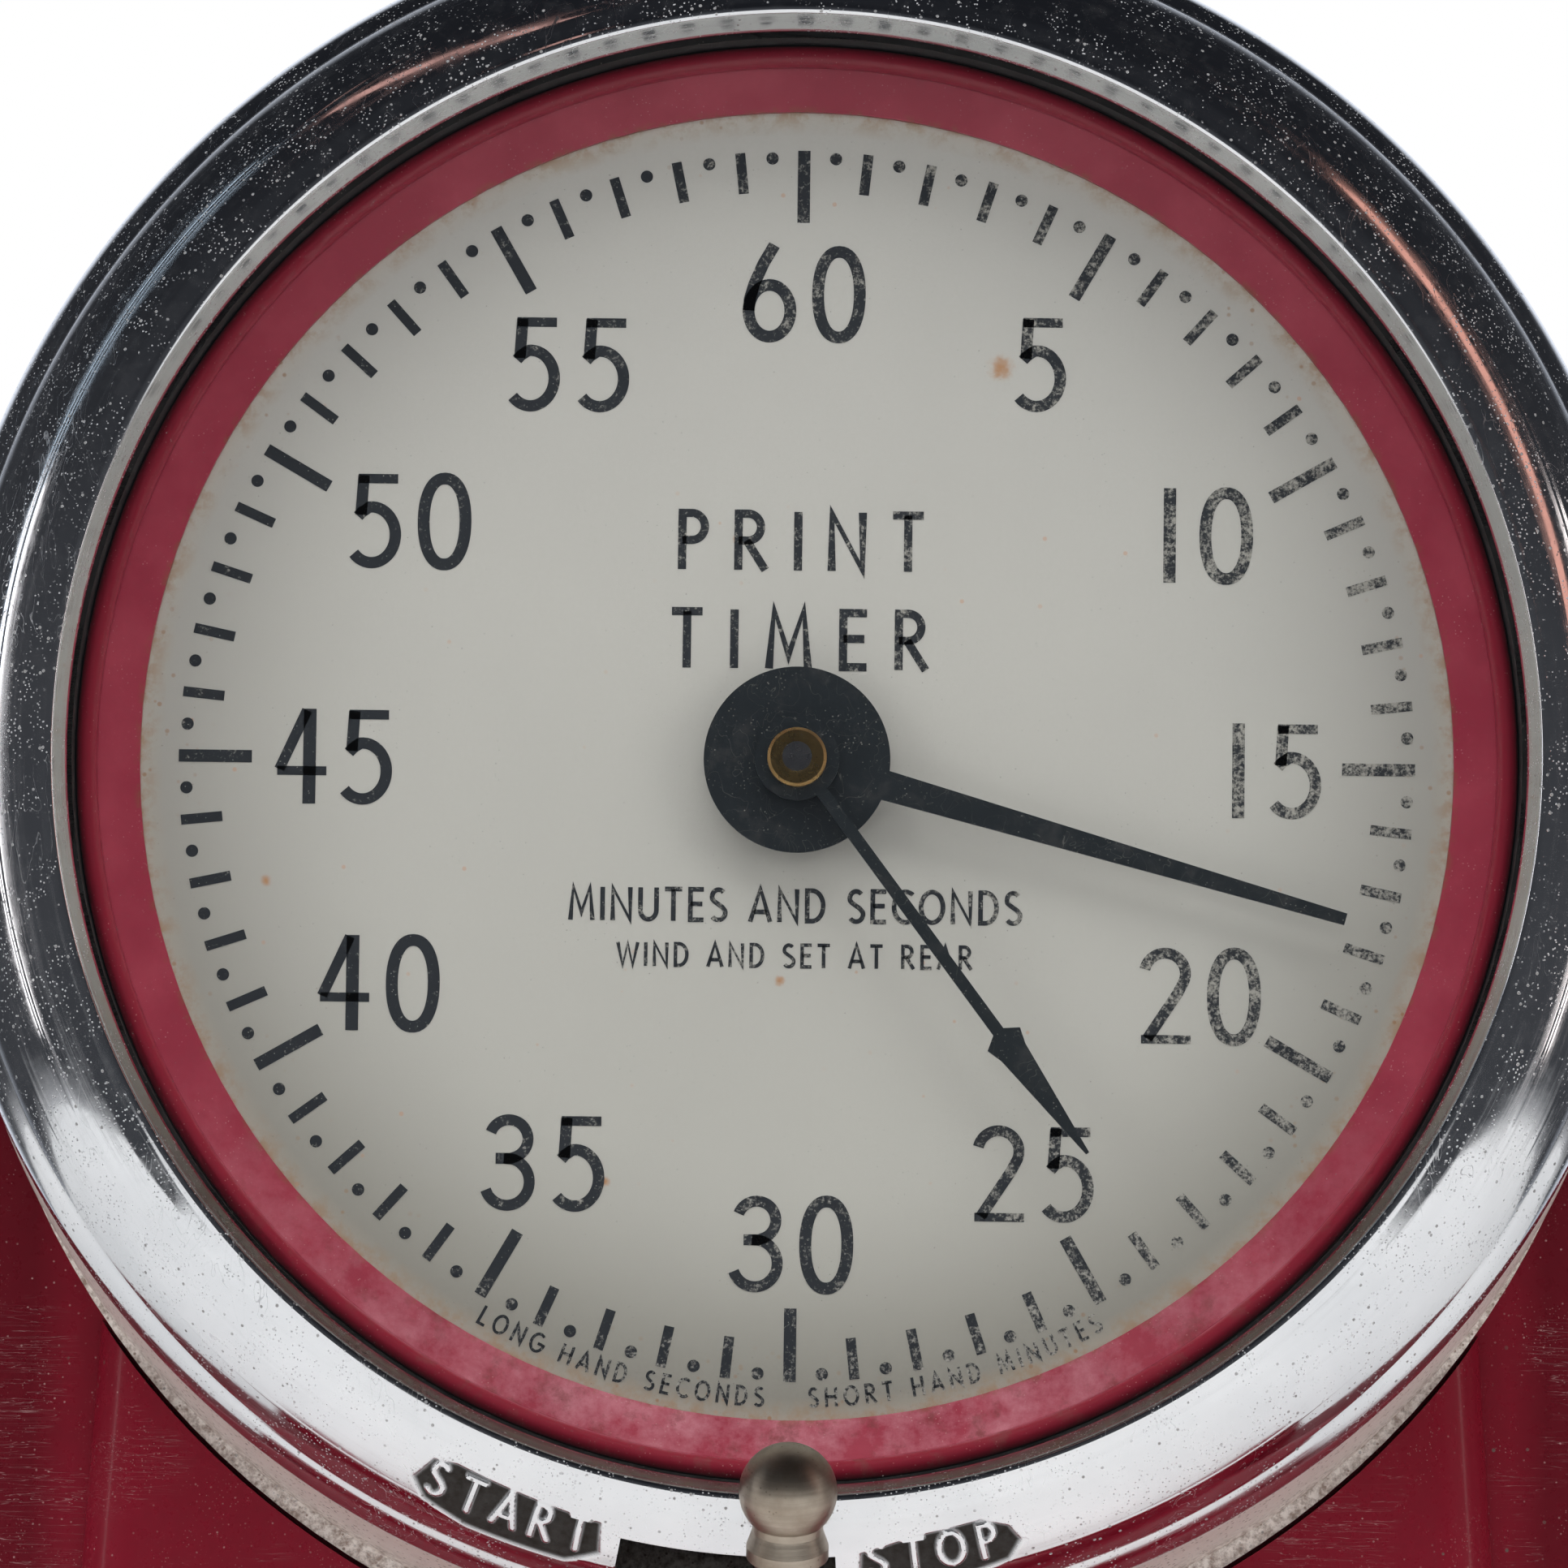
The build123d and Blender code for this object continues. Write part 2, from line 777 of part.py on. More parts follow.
def seconds_hand():
    root = 0.6 * seconds_disc_radius
    blade = Polygon(
        (root, -1.05), (seconds_hand_length, -0.4), (seconds_hand_length, 0.4), (root, 1.05), align=None
    )
    face = Rot(0, 0, seconds_hand_angle) * (Circle(seconds_disc_radius) + blade) - Circle(pipe_radius)
    return slab(face, seconds_hand_level, seconds_hand_level + hand_thickness)


def minute_hand():
    barb = minute_hand_length - 9.4
    stem = Polygon((0, -0.42), (barb, -0.42), (barb, 0.42), (0, 0.42), align=None)
    head = Polygon(
        (barb - 1.0, 0),
        (barb - 0.1, -1.35),
        (barb + 1.0, -1.0),
        (minute_hand_length, -0.12),
        (minute_hand_length, 0.12),
        (barb + 1.0, 1.0),
        (barb - 0.1, 1.35),
        align=None,
    )
    face = Rot(0, 0, minute_hand_angle) * (Circle(minute_hub_radius) + stem + head)
    face = face - Circle(collet_radius - 0.5)
    return slab(face, minute_hand_level, minute_hand_level + hand_thickness)


def hand_collet():
    neck = collet_radius - 0.5
    bore = minute_arbor_radius
    foot = minute_hand_level - 0.3
    top = minute_hand_level + hand_thickness
    return turned(
        [
            (bore, foot),
            (neck + 0.2, foot),
            (neck + 0.2, minute_hand_level),
            (neck, minute_hand_level),
            (neck, top),
            (collet_radius, top),
            (collet_radius, collet_front - 0.2),
            (collet_radius - 0.2, collet_front),
            (bore, collet_front),
        ]
    )


def seconds_pipe():
    return tube(pipe_radius, pipe_bore_radius, seconds_pinion_back, seconds_hand_level + hand_thickness + 0.2)


def seconds_wheel():
    return wheel(seconds_wheel_teeth, escape_module, 0.0, pipe_radius, 3.6, 4, seconds_wheel_back, (0, 0))


def seconds_pinion():
    front = seconds_wheel_back - 0.4
    return pinion(seconds_pinion_teeth, fine_module, 0.0, pipe_radius, seconds_pinion_back, front, (0, 0))


def minute_arbor():
    """Arbor with the collar that the clutch spring presses against."""
    collar_back_level = centre_wheel_back + wheel_thickness + 1.3
    shaft = cylinder(minute_arbor_radius, knob_front - set_knob_depth + 1.0, arbor_front)
    return shaft + cylinder(1.9, collar_back_level, collar_back_level + 1.2)


def clutch_spring():
    back = centre_wheel_back + wheel_thickness
    face = Circle(1.8)
    for angle in (0, 90):
        face = face + Rot(0, 0, angle) * Rectangle(9, 1.6)
    return slab(face - Circle(minute_arbor_radius + running_gap), back, back + 0.3)


def centre_wheel(phase):
    bore = minute_arbor_radius + running_gap
    disc = wheel(centre_wheel_teeth, centre_module, phase, bore, 5.2, 5, centre_wheel_back, (0, 0))
    return disc + tube(1.9, bore, centre_pinion_back + pinion_length, centre_wheel_back)


def centre_pinion():
    bore = minute_arbor_radius + running_gap
    front = centre_pinion_back + pinion_length
    return pinion(centre_pinion_teeth, main_module, 0.0, bore, centre_pinion_back, front, (0, 0))


# ---- Third, escape and main wheels ----


def third_wheel():
    phase = meshed_phase(0.0, seconds_pinion_teeth, third_wheel_teeth, third_angle)
    bore = train_arbor_radius
    return wheel(third_wheel_teeth, fine_module, phase, bore, 3.6, 5, third_wheel_back, third_place)


def third_pinion():
    leaves = pinion(
        third_pinion_teeth,
        centre_module,
        0.0,
        train_arbor_radius,
        third_pinion_back,
        third_pinion_back + pinion_length,
        third_place,
    )
    return leaves + train_arbor(third_place)


def escape_pinion():
    phase = meshed_phase(0.0, seconds_wheel_teeth, escape_pinion_teeth, escape_angle)
    leaves = pinion(
        escape_pinion_teeth,
        escape_module,
        phase,
        train_arbor_radius,
        seconds_wheel_back - 0.2,
        front_plate_back - side_gap,
        escape_place,
    )
    return leaves + train_arbor(escape_place)


def escape_wheel():
    """Fifteen hooked teeth on a thin rim with four arms."""
    points = []
    root = escape_tip_radius - 1.3
    pitch = 360 / escape_wheel_teeth
    for tooth in range(escape_wheel_teeth):
        start = tooth * pitch
        points.append(polar(root, start))
        points.append(polar(escape_tip_radius, start + 0.30 * pitch))
        points.append(polar(escape_tip_radius, start + 0.38 * pitch))
        points.append(polar(root, start + 0.50 * pitch))
    face = make_face(Polyline(*points, close=True)) - Circle(train_arbor_radius)
    for window in windows(2.0, root - 0.7, 4):
        face = face - window
    return slab(face, escape_wheel_back, escape_wheel_back + wheel_thickness, escape_place)


def main_wheel():
    phase = meshed_phase(0.0, centre_pinion_teeth, main_wheel_teeth, main_angle)
    bore = main_arbor_radius + running_gap
    disc = wheel(main_wheel_teeth, main_module, phase, bore, 13.5, 5, main_wheel_back, main_place)
    return disc - cylinder(click_pivot_radius, main_wheel_back, 0, click_pivot_place())


def main_arbor():
    body = cylinder(main_arbor_radius, knob_front - key_socket_depth, front_plate_back - side_gap, main_place)
    return body + cylinder(main_pivot_radius, front_plate_back - side_gap, front_plate_front, main_place)


def ratchet_wheel():
    points = []
    pitch = 360 / ratchet_teeth
    for tooth in range(ratchet_teeth):
        points.append(polar(ratchet_radius, tooth * pitch))
        points.append(polar(ratchet_radius - ratchet_tooth_height, (tooth + 0.12) * pitch))
    face = make_face(Polyline(*points, close=True)) - Circle(main_arbor_radius)
    return slab(face, click_back, click_front, main_place)


def click_pivot_place():
    return between(main_place, click_pivot_circle, click_pivot_angle)


def click():
    """Pawl whose nose rides just above the ratchet's tooth tips."""
    pivot = click_pivot_place()
    nose = between(main_place, ratchet_radius + click_gap + click_nose_radius, click_nose_angle)
    face = bar(pivot, nose, 2 * click_nose_radius) + Pos(*pivot) * Circle(click_pivot_radius + 0.9)
    return slab(face - Pos(*pivot) * Circle(click_pivot_radius + running_gap), click_back, click_front)


def click_screw():
    pivot = click_pivot_place()
    shank = cylinder(click_pivot_radius, click_back, main_wheel_back + wheel_thickness, pivot)
    return shank + cylinder(1.5, click_back - 0.6, click_back, pivot)


def click_spring():
    """Bent wire on the main wheel that presses the click from outside."""
    tail = between(main_place, click_spring_circle, 190)
    bend = between(main_place, click_spring_circle + 0.8, 212)
    tip = between(main_place, click_spring_circle, 232)
    wire = bar(tail, bend, 0.4) + bar(bend, tip, 0.4)
    return slab(wire, click_back + 0.4, main_wheel_back) + cylinder(0.9, click_back, main_wheel_back, tail)


# ---- Escapement and balance ----


def pallet_pin_places():
    radius = escape_tip_radius + pallet_pin_radius + pallet_pin_gap
    return [between(escape_place, radius, pallet_direction + side * pallet_pin_spread) for side in (-1, 1)]


def pallet_lever():
    """Flat lever with a fork end and the two pins that the escape wheel meets."""
    fork_circle = impulse_radius + pallet_pin_radius + fork_gap + 0.5
    fork_end = between(balance_place, fork_circle, balance_direction + 180)
    face = bar(pallet_place, fork_end, 1.0) + Pos(*pallet_place) * Circle(1.4)
    for place in pallet_pin_places():
        face = face + bar(pallet_place, place, 0.9)
    front = pallet_back + pallet_thickness
    body = slab(face - Pos(*pallet_place) * Circle(train_pivot_radius), pallet_back, front)
    for place in pallet_pin_places():
        body = body + cylinder(pallet_pin_radius, front, escape_wheel_back + wheel_thickness, place)
    return body


def pallet_arbor():
    body = cylinder(train_pivot_radius, back_plate_back, front_plate_front, pallet_place)
    front = pallet_back + pallet_thickness
    return body + cylinder(train_arbor_radius, front, front + 0.8, pallet_place)


def balance_wheel():
    ring = Circle(balance_radius) - Circle(balance_radius - balance_rim)
    for angle in (0, 120, 240):
        arm = Pos(balance_radius / 2 - 0.2, 0) * Rectangle(balance_radius - balance_rim, 0.9)
        ring = ring + Rot(0, 0, angle) * arm
    face = ring + Circle(1.5) - Circle(train_pivot_radius + 0.2)
    return slab(face, balance_back, balance_back + balance_thickness, balance_place)


def balance_staff():
    return train_arbor(balance_place, train_pivot_radius + 0.2, train_pivot_radius)


def balance_roller():
    """Disc with the impulse pin that the fork drives."""
    bore = train_pivot_radius + 0.2
    front = roller_back + roller_thickness
    disc = tube(impulse_radius + 0.6, bore, roller_back, front, balance_place)
    pin_place = between(balance_place, impulse_radius, balance_direction + 180)
    return disc + cylinder(pallet_pin_radius, front, pallet_back + pallet_thickness, pin_place)


def spiral_face(inner, outer, turns, strip):
    """Flat spiral strip between two radii."""
    steps = int(16 * turns)
    growth = (outer - strip - inner) / steps
    centre_line = [(inner + growth * step, 360 * turns * step / steps) for step in range(steps + 1)]
    inside = Spline(*[polar(radius, angle) for radius, angle in centre_line])
    outside = Spline(*[polar(radius + strip, angle) for radius, angle in centre_line])
    ends = [Line(inside @ 0, outside @ 0), Line(inside @ 1, outside @ 1)]
    return make_face([inside, outside, *ends])


def mainspring():
    """Coiled strip whose outer end reaches out to a pillar."""
    inner = main_arbor_radius + 0.3
    face = Rot(0, 0, 20) * spiral_face(inner, mainspring_radius, mainspring_turns, mainspring_strip)
    pillar = polar(pillar_circle, pillar_angles[3])
    anchor = (pillar[0] - main_place[0], pillar[1] - main_place[1])
    tail_start = polar(mainspring_radius - mainspring_strip / 2, 20)
    tail_end = between(anchor, pillar_radius, math.degrees(math.atan2(anchor[1], anchor[0])) + 150)
    tail = bar(tail_start, tail_end, mainspring_strip)
    strip = slab(face + tail, mainspring_back, mainspring_back + mainspring_height, main_place)
    return strip - cylinder(pillar_radius, back_plate_front, front_plate_back, pillar)


def hairspring():
    inner = train_pivot_radius + 0.2 + 0.3
    face = spiral_face(inner, hairspring_radius, hairspring_turns, hairspring_strip)
    return slab(face, hairspring_back, hairspring_back + hairspring_height, balance_place)


def hairspring_stud():
    place = between(balance_place, hairspring_radius, 0)
    post = cylinder(0.6, back_plate_front, hairspring_back + hairspring_height, place)
    return post - hairspring()


def regulator():
    """Index arm behind the back plate, with a tail through the back cover's slot."""
    back = back_plate_back - 1.4
    tail_place = between(balance_place, hairspring_radius + regulator_tail_gap, 90)
    arm = bar(balance_place, tail_place, 1.6) + Pos(*balance_place) * Circle(2.4)
    arm = arm - Pos(*balance_place) * Circle(regulator_post_radius + running_gap)
    tail = cylinder(regulator_tail_radius, cover_back - 3.0, back, tail_place)
    return slab(arm, back, back_plate_back - 0.2) + tail


def regulator_post():
    """Shouldered ring on the back plate that the regulator turns on."""
    back = back_plate_back - 2.0
    bore = regulator_post_radius - 0.3
    ring = tube(regulator_post_radius, bore, back, back_plate_back, balance_place)
    return ring + tube(regulator_post_radius + 0.8, bore, back, back + 0.5, balance_place)


# ---- Start and stop lever ----


def control_arm():
    arm_end = polar(slot_radius, lever_angle)
    brake_end = polar(brake_circle, balance_angle)
    face = Circle(bush_radius + 2.4) + bar(polar(bush_radius + 1.4, lever_angle), arm_end, 3.0)
    face = face + bar(polar(bush_radius + 1.4, balance_angle), brake_end, 2.2)
    face = face - Circle(bush_radius + running_gap)
    face = face - Pos(*arm_end) * Circle(lever_rod_radius) - Pos(*brake_end) * Circle(brake_wire_radius)
    return slab(face, arm_back, arm_front)


def lever_rod():
    return cylinder(lever_rod_radius, arm_back, lever_foot_height, polar(slot_radius, lever_angle))


def brake_wire():
    return cylinder(brake_wire_radius, balance_back - 0.5, arm_front, polar(brake_circle, balance_angle))


def stem_frame():
    """Frame with its origin at the ball and its z from the stem's tail to the ball."""
    rise = math.atan2(lever_foot_radius - ball_circle_radius, ball_height - lever_foot_height)
    origin = (*polar(ball_circle_radius, lever_angle), ball_height)
    return Location(origin) * Rot(0, 0, lever_angle + 90) * Rot(-math.degrees(rise), 0, 0)


def stem_length():
    return math.hypot(lever_foot_radius - ball_circle_radius, ball_height - lever_foot_height)


def lever_knob():
    """Turned knob: tapered tail, collar, neck and ball."""
    tail = -stem_length() - 1.6
    collar_middle = -4.25
    body = turned(
        [
            (0, tail),
            (stem_tail_radius, tail + 0.4),
            (stem_collar_radius - 0.4, collar_middle - 0.4),
            (stem_collar_radius, collar_middle - 0.4),
            (stem_collar_radius, collar_middle + 0.4),
            (stem_neck_radius, collar_middle + 1.5),
            (stem_neck_radius, -1.0),
            (0, -1.0),
        ]
    )
    return stem_frame() * (body + Sphere(ball_radius)) - lever_rod()


# ---- Rear controls ----


def set_knob():
    back = knob_front - set_knob_depth
    face = Circle(set_knob_radius)
    for flute in range(flute_count):
        middle = polar(set_knob_radius + 0.25, 360 * flute / flute_count)
        face = face - Pos(*middle) * Circle(flute_radius)
    body = slab(face, back, knob_front)
    return body - cylinder(minute_arbor_radius, knob_front - set_knob_depth + 1.0, knob_front)


def winding_key():
    boss = cylinder(key_boss_radius, knob_front - key_boss_depth, knob_front, main_place)
    blade_front = knob_front - key_socket_depth
    lobe = key_span / 4
    outline = Rectangle(2 * lobe, key_web)
    for side in (-1, 1):
        outline += Pos(side * lobe, 0) * Circle(lobe)
    for side in (-1, 1):
        outline -= Pos(side * lobe, 0) * Circle(lobe - key_lobe_wall)
    wings = outline & Rectangle(key_span, blade_front - key_back)
    middle = (blade_front + key_back) / 2
    blade = Pos(0, 0, middle) * Rot(90, 0, 0) * extrude(wings, key_blade / 2, both=True)
    body = boss + Pos(main_place[0], main_place[1], 0) * blade
    return body - cylinder(main_arbor_radius, knob_front - key_socket_depth, knob_front, main_place)


# ---- Assembly ----


def build_all():
    third_phase = meshed_phase(0.0, third_pinion_teeth, centre_wheel_teeth, third_angle + 180)
    return {
        "bezel": bezel(),
        "bezel_seat_ring": seat_ring(),
        "dial_plate": dial_plate(),
        "dial_feet": dial_feet(),
        "dial_ring": dial_ring(),
        "crystal_gasket": crystal_gasket(),
        "crystal": crystal(),
        "collar": collar(),
        "collar_bolts": collar_bolts(),
        "case_shell": case_shell(),
        "pedestal_panel": panel(),
        "plinth": plinth(),
        "rubber_feet": rubber_feet(),
        "base_screws": base_screws(),
        "cover_posts": cover_posts(),
        "back_cover": back_cover(),
        "cover_screws": cover_screws(),
        "front_plate": front_plate(),
        "back_plate": back_plate(),
        "pillars": pillars(),
        "pillar_nuts": pillar_nuts(),
        "plate_spacers": spacers(),
        "spacer_screws": spacer_screws(),
        "pipe_bush": pipe_bush(),
        "seconds_hand": seconds_hand(),
        "seconds_pipe": seconds_pipe(),
        "seconds_wheel": seconds_wheel(),
        "seconds_pinion": seconds_pinion(),
        "minute_hand": minute_hand(),
        "hand_collet": hand_collet(),
        "minute_arbor": minute_arbor(),
        "set_knob": set_knob(),
        "centre_wheel": centre_wheel(third_phase),
        "centre_pinion": centre_pinion(),
        "clutch_spring": clutch_spring(),
        "third_wheel": third_wheel(),
        "third_pinion": third_pinion(),
        "escape_wheel": escape_wheel(),
        "escape_pinion": escape_pinion(),
        "pallet_lever": pallet_lever(),
        "pallet_arbor": pallet_arbor(),
        "balance_wheel": balance_wheel(),
        "balance_staff": balance_staff(),
        "balance_roller": balance_roller(),
        "hairspring": hairspring(),
        "hairspring_stud": hairspring_stud(),
        "regulator": regulator(),
        "regulator_post": regulator_post(),
        "main_wheel": main_wheel(),
        "main_arbor": main_arbor(),
        "mainspring": mainspring(),
        "ratchet_wheel": ratchet_wheel(),
        "click": click(),
        "click_screw": click_screw(),
        "click_spring": click_spring(),
        "winding_key": winding_key(),
        "control_arm": control_arm(),
        "lever_rod": lever_rod(),
        "lever_knob": lever_knob(),
        "brake_wire": brake_wire(),
    }


stand_up = Pos(0, -middle_shift, axis_height) * Rot(90, 0, 0)
os.makedirs("parts", exist_ok=True)
for name, piece in build_all().items():
    export_step(stand_up * piece, f"parts/{name}.step")
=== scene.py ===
import math

import bpy
import numpy as np
from mathutils import Matrix, Vector


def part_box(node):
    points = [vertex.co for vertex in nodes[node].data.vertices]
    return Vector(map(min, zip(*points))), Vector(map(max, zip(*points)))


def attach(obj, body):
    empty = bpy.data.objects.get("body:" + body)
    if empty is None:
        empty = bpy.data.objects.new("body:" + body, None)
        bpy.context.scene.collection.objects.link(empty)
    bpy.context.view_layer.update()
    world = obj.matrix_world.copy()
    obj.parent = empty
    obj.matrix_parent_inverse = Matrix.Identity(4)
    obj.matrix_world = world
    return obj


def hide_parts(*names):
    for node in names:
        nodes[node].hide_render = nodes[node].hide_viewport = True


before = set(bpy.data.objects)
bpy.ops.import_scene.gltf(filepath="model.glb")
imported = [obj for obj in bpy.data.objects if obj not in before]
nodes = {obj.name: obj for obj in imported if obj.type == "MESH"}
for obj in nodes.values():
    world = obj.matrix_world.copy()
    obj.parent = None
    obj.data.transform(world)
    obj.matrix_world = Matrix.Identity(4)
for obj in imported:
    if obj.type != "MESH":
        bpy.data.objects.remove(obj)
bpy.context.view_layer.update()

MM = 0.001
dial_low, dial_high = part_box("dial_plate")
AXIS_Z = (dial_low.z + dial_high.z) / 2
DIAL_Y = dial_low.y


def place(x, y, z):
    """A point given in mm right of, above and in front of the middle of the dial's face."""
    return Vector((x * MM, DIAL_Y - z * MM, AXIS_Z + y * MM))


def link(name, verts, faces, material, body="case", smooth=None):
    mesh = bpy.data.meshes.new(name)
    mesh.from_pydata([tuple(v) for v in verts], [], [tuple(int(i) for i in f) for f in faces])
    mesh.update()
    if smooth is not None:
        mesh.shade_smooth()
        mesh.set_sharp_from_angle(angle=math.radians(smooth))
    piece = bpy.data.objects.new(name, mesh)
    bpy.context.scene.collection.objects.link(piece)
    mesh.materials.append(material)
    if body:
        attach(piece, body)
    return piece


# ---------------------------------------------------------------- materials


class Shader:
    """A node material built by short calls; patterns use object coordinates, in mm from the dial's middle."""

    def __init__(self, name):
        self.material = bpy.data.materials.new(name)
        self.material.use_nodes = True
        self.tree = self.material.node_tree
        self.tree.nodes.clear()
        coordinates = self.tree.nodes.new("ShaderNodeTexCoord").outputs["Object"]
        mapping = self.tree.nodes.new("ShaderNodeMapping")
        mapping.vector_type = "POINT"
        mapping.inputs["Location"].default_value = (0, -DIAL_Y / MM, -AXIS_Z / MM)
        mapping.inputs["Scale"].default_value = (1 / MM,) * 3
        self.tree.links.new(coordinates, mapping.inputs["Vector"])
        self.mm = mapping.outputs["Vector"]
        self.split = None

    def set(self, socket, value):
        if isinstance(value, bpy.types.NodeSocket):
            self.tree.links.new(value, socket)
        elif socket.type == "RGBA" and len(value) == 3:
            socket.default_value = (*value, 1)
        else:
            socket.default_value = value

    def axis(self, index):
        if self.split is None:
            node = self.tree.nodes.new("ShaderNodeSeparateXYZ")
            self.set(node.inputs[0], self.mm)
            self.split = node
        return self.split.outputs[index]

    def math(self, operation, a, b=0.0, c=0.0, clamp=False):
        node = self.tree.nodes.new("ShaderNodeMath")
        node.operation = operation
        node.use_clamp = clamp
        self.set(node.inputs[0], a)
        self.set(node.inputs[1], b)
        self.set(node.inputs[2], c)
        return node.outputs[0]

    def radius(self):
        across = self.math("MULTIPLY", self.axis(0), self.axis(0))
        return self.math("SQRT", self.math("ADD", across, self.math("MULTIPLY", self.axis(2), self.axis(2))))

    def turn(self):
        """Angle about the dial's axis, in degrees clockwise from the top, from -180 to 180."""
        return self.math("MULTIPLY", self.math("ARCTAN2", self.axis(0), self.axis(2)), 180 / math.pi)

    def stretch(self, scale, offset=(0, 0, 0)):
        node = self.tree.nodes.new("ShaderNodeMapping")
        self.set(node.inputs["Vector"], self.mm)
        node.inputs["Scale"].default_value = scale
        node.inputs["Location"].default_value = offset
        return node.outputs[0]

    def combine(self, x, y, z):
        node = self.tree.nodes.new("ShaderNodeCombineXYZ")
        for socket, value in zip(node.inputs, (x, y, z)):
            self.set(socket, value)
        return node.outputs[0]

    def noise(self, scale, detail=4.0, rough=0.55, where=None, distort=0.0):
        node = self.tree.nodes.new("ShaderNodeTexNoise")
        self.set(node.inputs["Vector"], where if where is not None else self.mm)
        node.inputs["Scale"].default_value = scale
        node.inputs["Detail"].default_value = detail
        node.inputs["Roughness"].default_value = rough
        node.inputs["Distortion"].default_value = distort
        node.inputs["Lacunarity"].default_value = 2.0
        return node.outputs["Fac"]

    def cells(self, scale):
        node = self.tree.nodes.new("ShaderNodeTexVoronoi")
        self.set(node.inputs["Vector"], self.mm)
        node.inputs["Scale"].default_value = scale
        return node.outputs["Distance"]

    def ramp(self, value, low, high, start=0.0, end=1.0, kind="LINEAR"):
        node = self.tree.nodes.new("ShaderNodeMapRange")
        node.interpolation_type = kind
        node.clamp = True
        self.set(node.inputs["Value"], value)
        node.inputs["From Min"].default_value = low
        node.inputs["From Max"].default_value = high
        node.inputs["To Min"].default_value = start
        node.inputs["To Max"].default_value = end
        return node.outputs["Result"]

    def spots(self, scale, size, soft):
        """1 inside small round spots, 0 elsewhere."""
        return self.ramp(self.cells(scale), size, size + soft, 1.0, 0.0)

    def both(self, a, b):
        return self.math("MULTIPLY", a, b, clamp=True)

    def either(self, a, b):
        return self.math("MAXIMUM", a, b, clamp=True)

    def mix(self, share, a, b):
        node = self.tree.nodes.new("ShaderNodeMix")
        node.data_type = "RGBA"
        node.clamp_factor = True
        self.set(node.inputs["Factor"], share)
        self.set(node.inputs["A"], a)
        self.set(node.inputs["B"], b)
        return next(o for o in node.outputs if o.type == "RGBA")

    def blend(self, share, a, b):
        node = self.tree.nodes.new("ShaderNodeMix")
        node.data_type = "FLOAT"
        node.clamp_factor = True
        self.set(node.inputs["Factor"], share)
        self.set(node.inputs["A"], a)
        self.set(node.inputs["B"], b)
        return node.outputs["Result"]

    def bump(self, height, depth_mm, strength=1.0, normal=None):
        node = self.tree.nodes.new("ShaderNodeBump")
        node.inputs["Strength"].default_value = strength
        node.inputs["Distance"].default_value = depth_mm * MM
        self.set(node.inputs["Height"], height)
        if normal is not None:
            self.set(node.inputs["Normal"], normal)
        return node.outputs["Normal"]

    def finish(self, **sockets):
        shader = self.tree.nodes.new("ShaderNodeBsdfPrincipled")
        for name, value in sockets.items():
            self.set(shader.inputs[name.replace("_", " ")], value)
        out = self.tree.nodes.new("ShaderNodeOutputMaterial")
        self.tree.links.new(shader.outputs[0], out.inputs["Surface"])
        return self.material


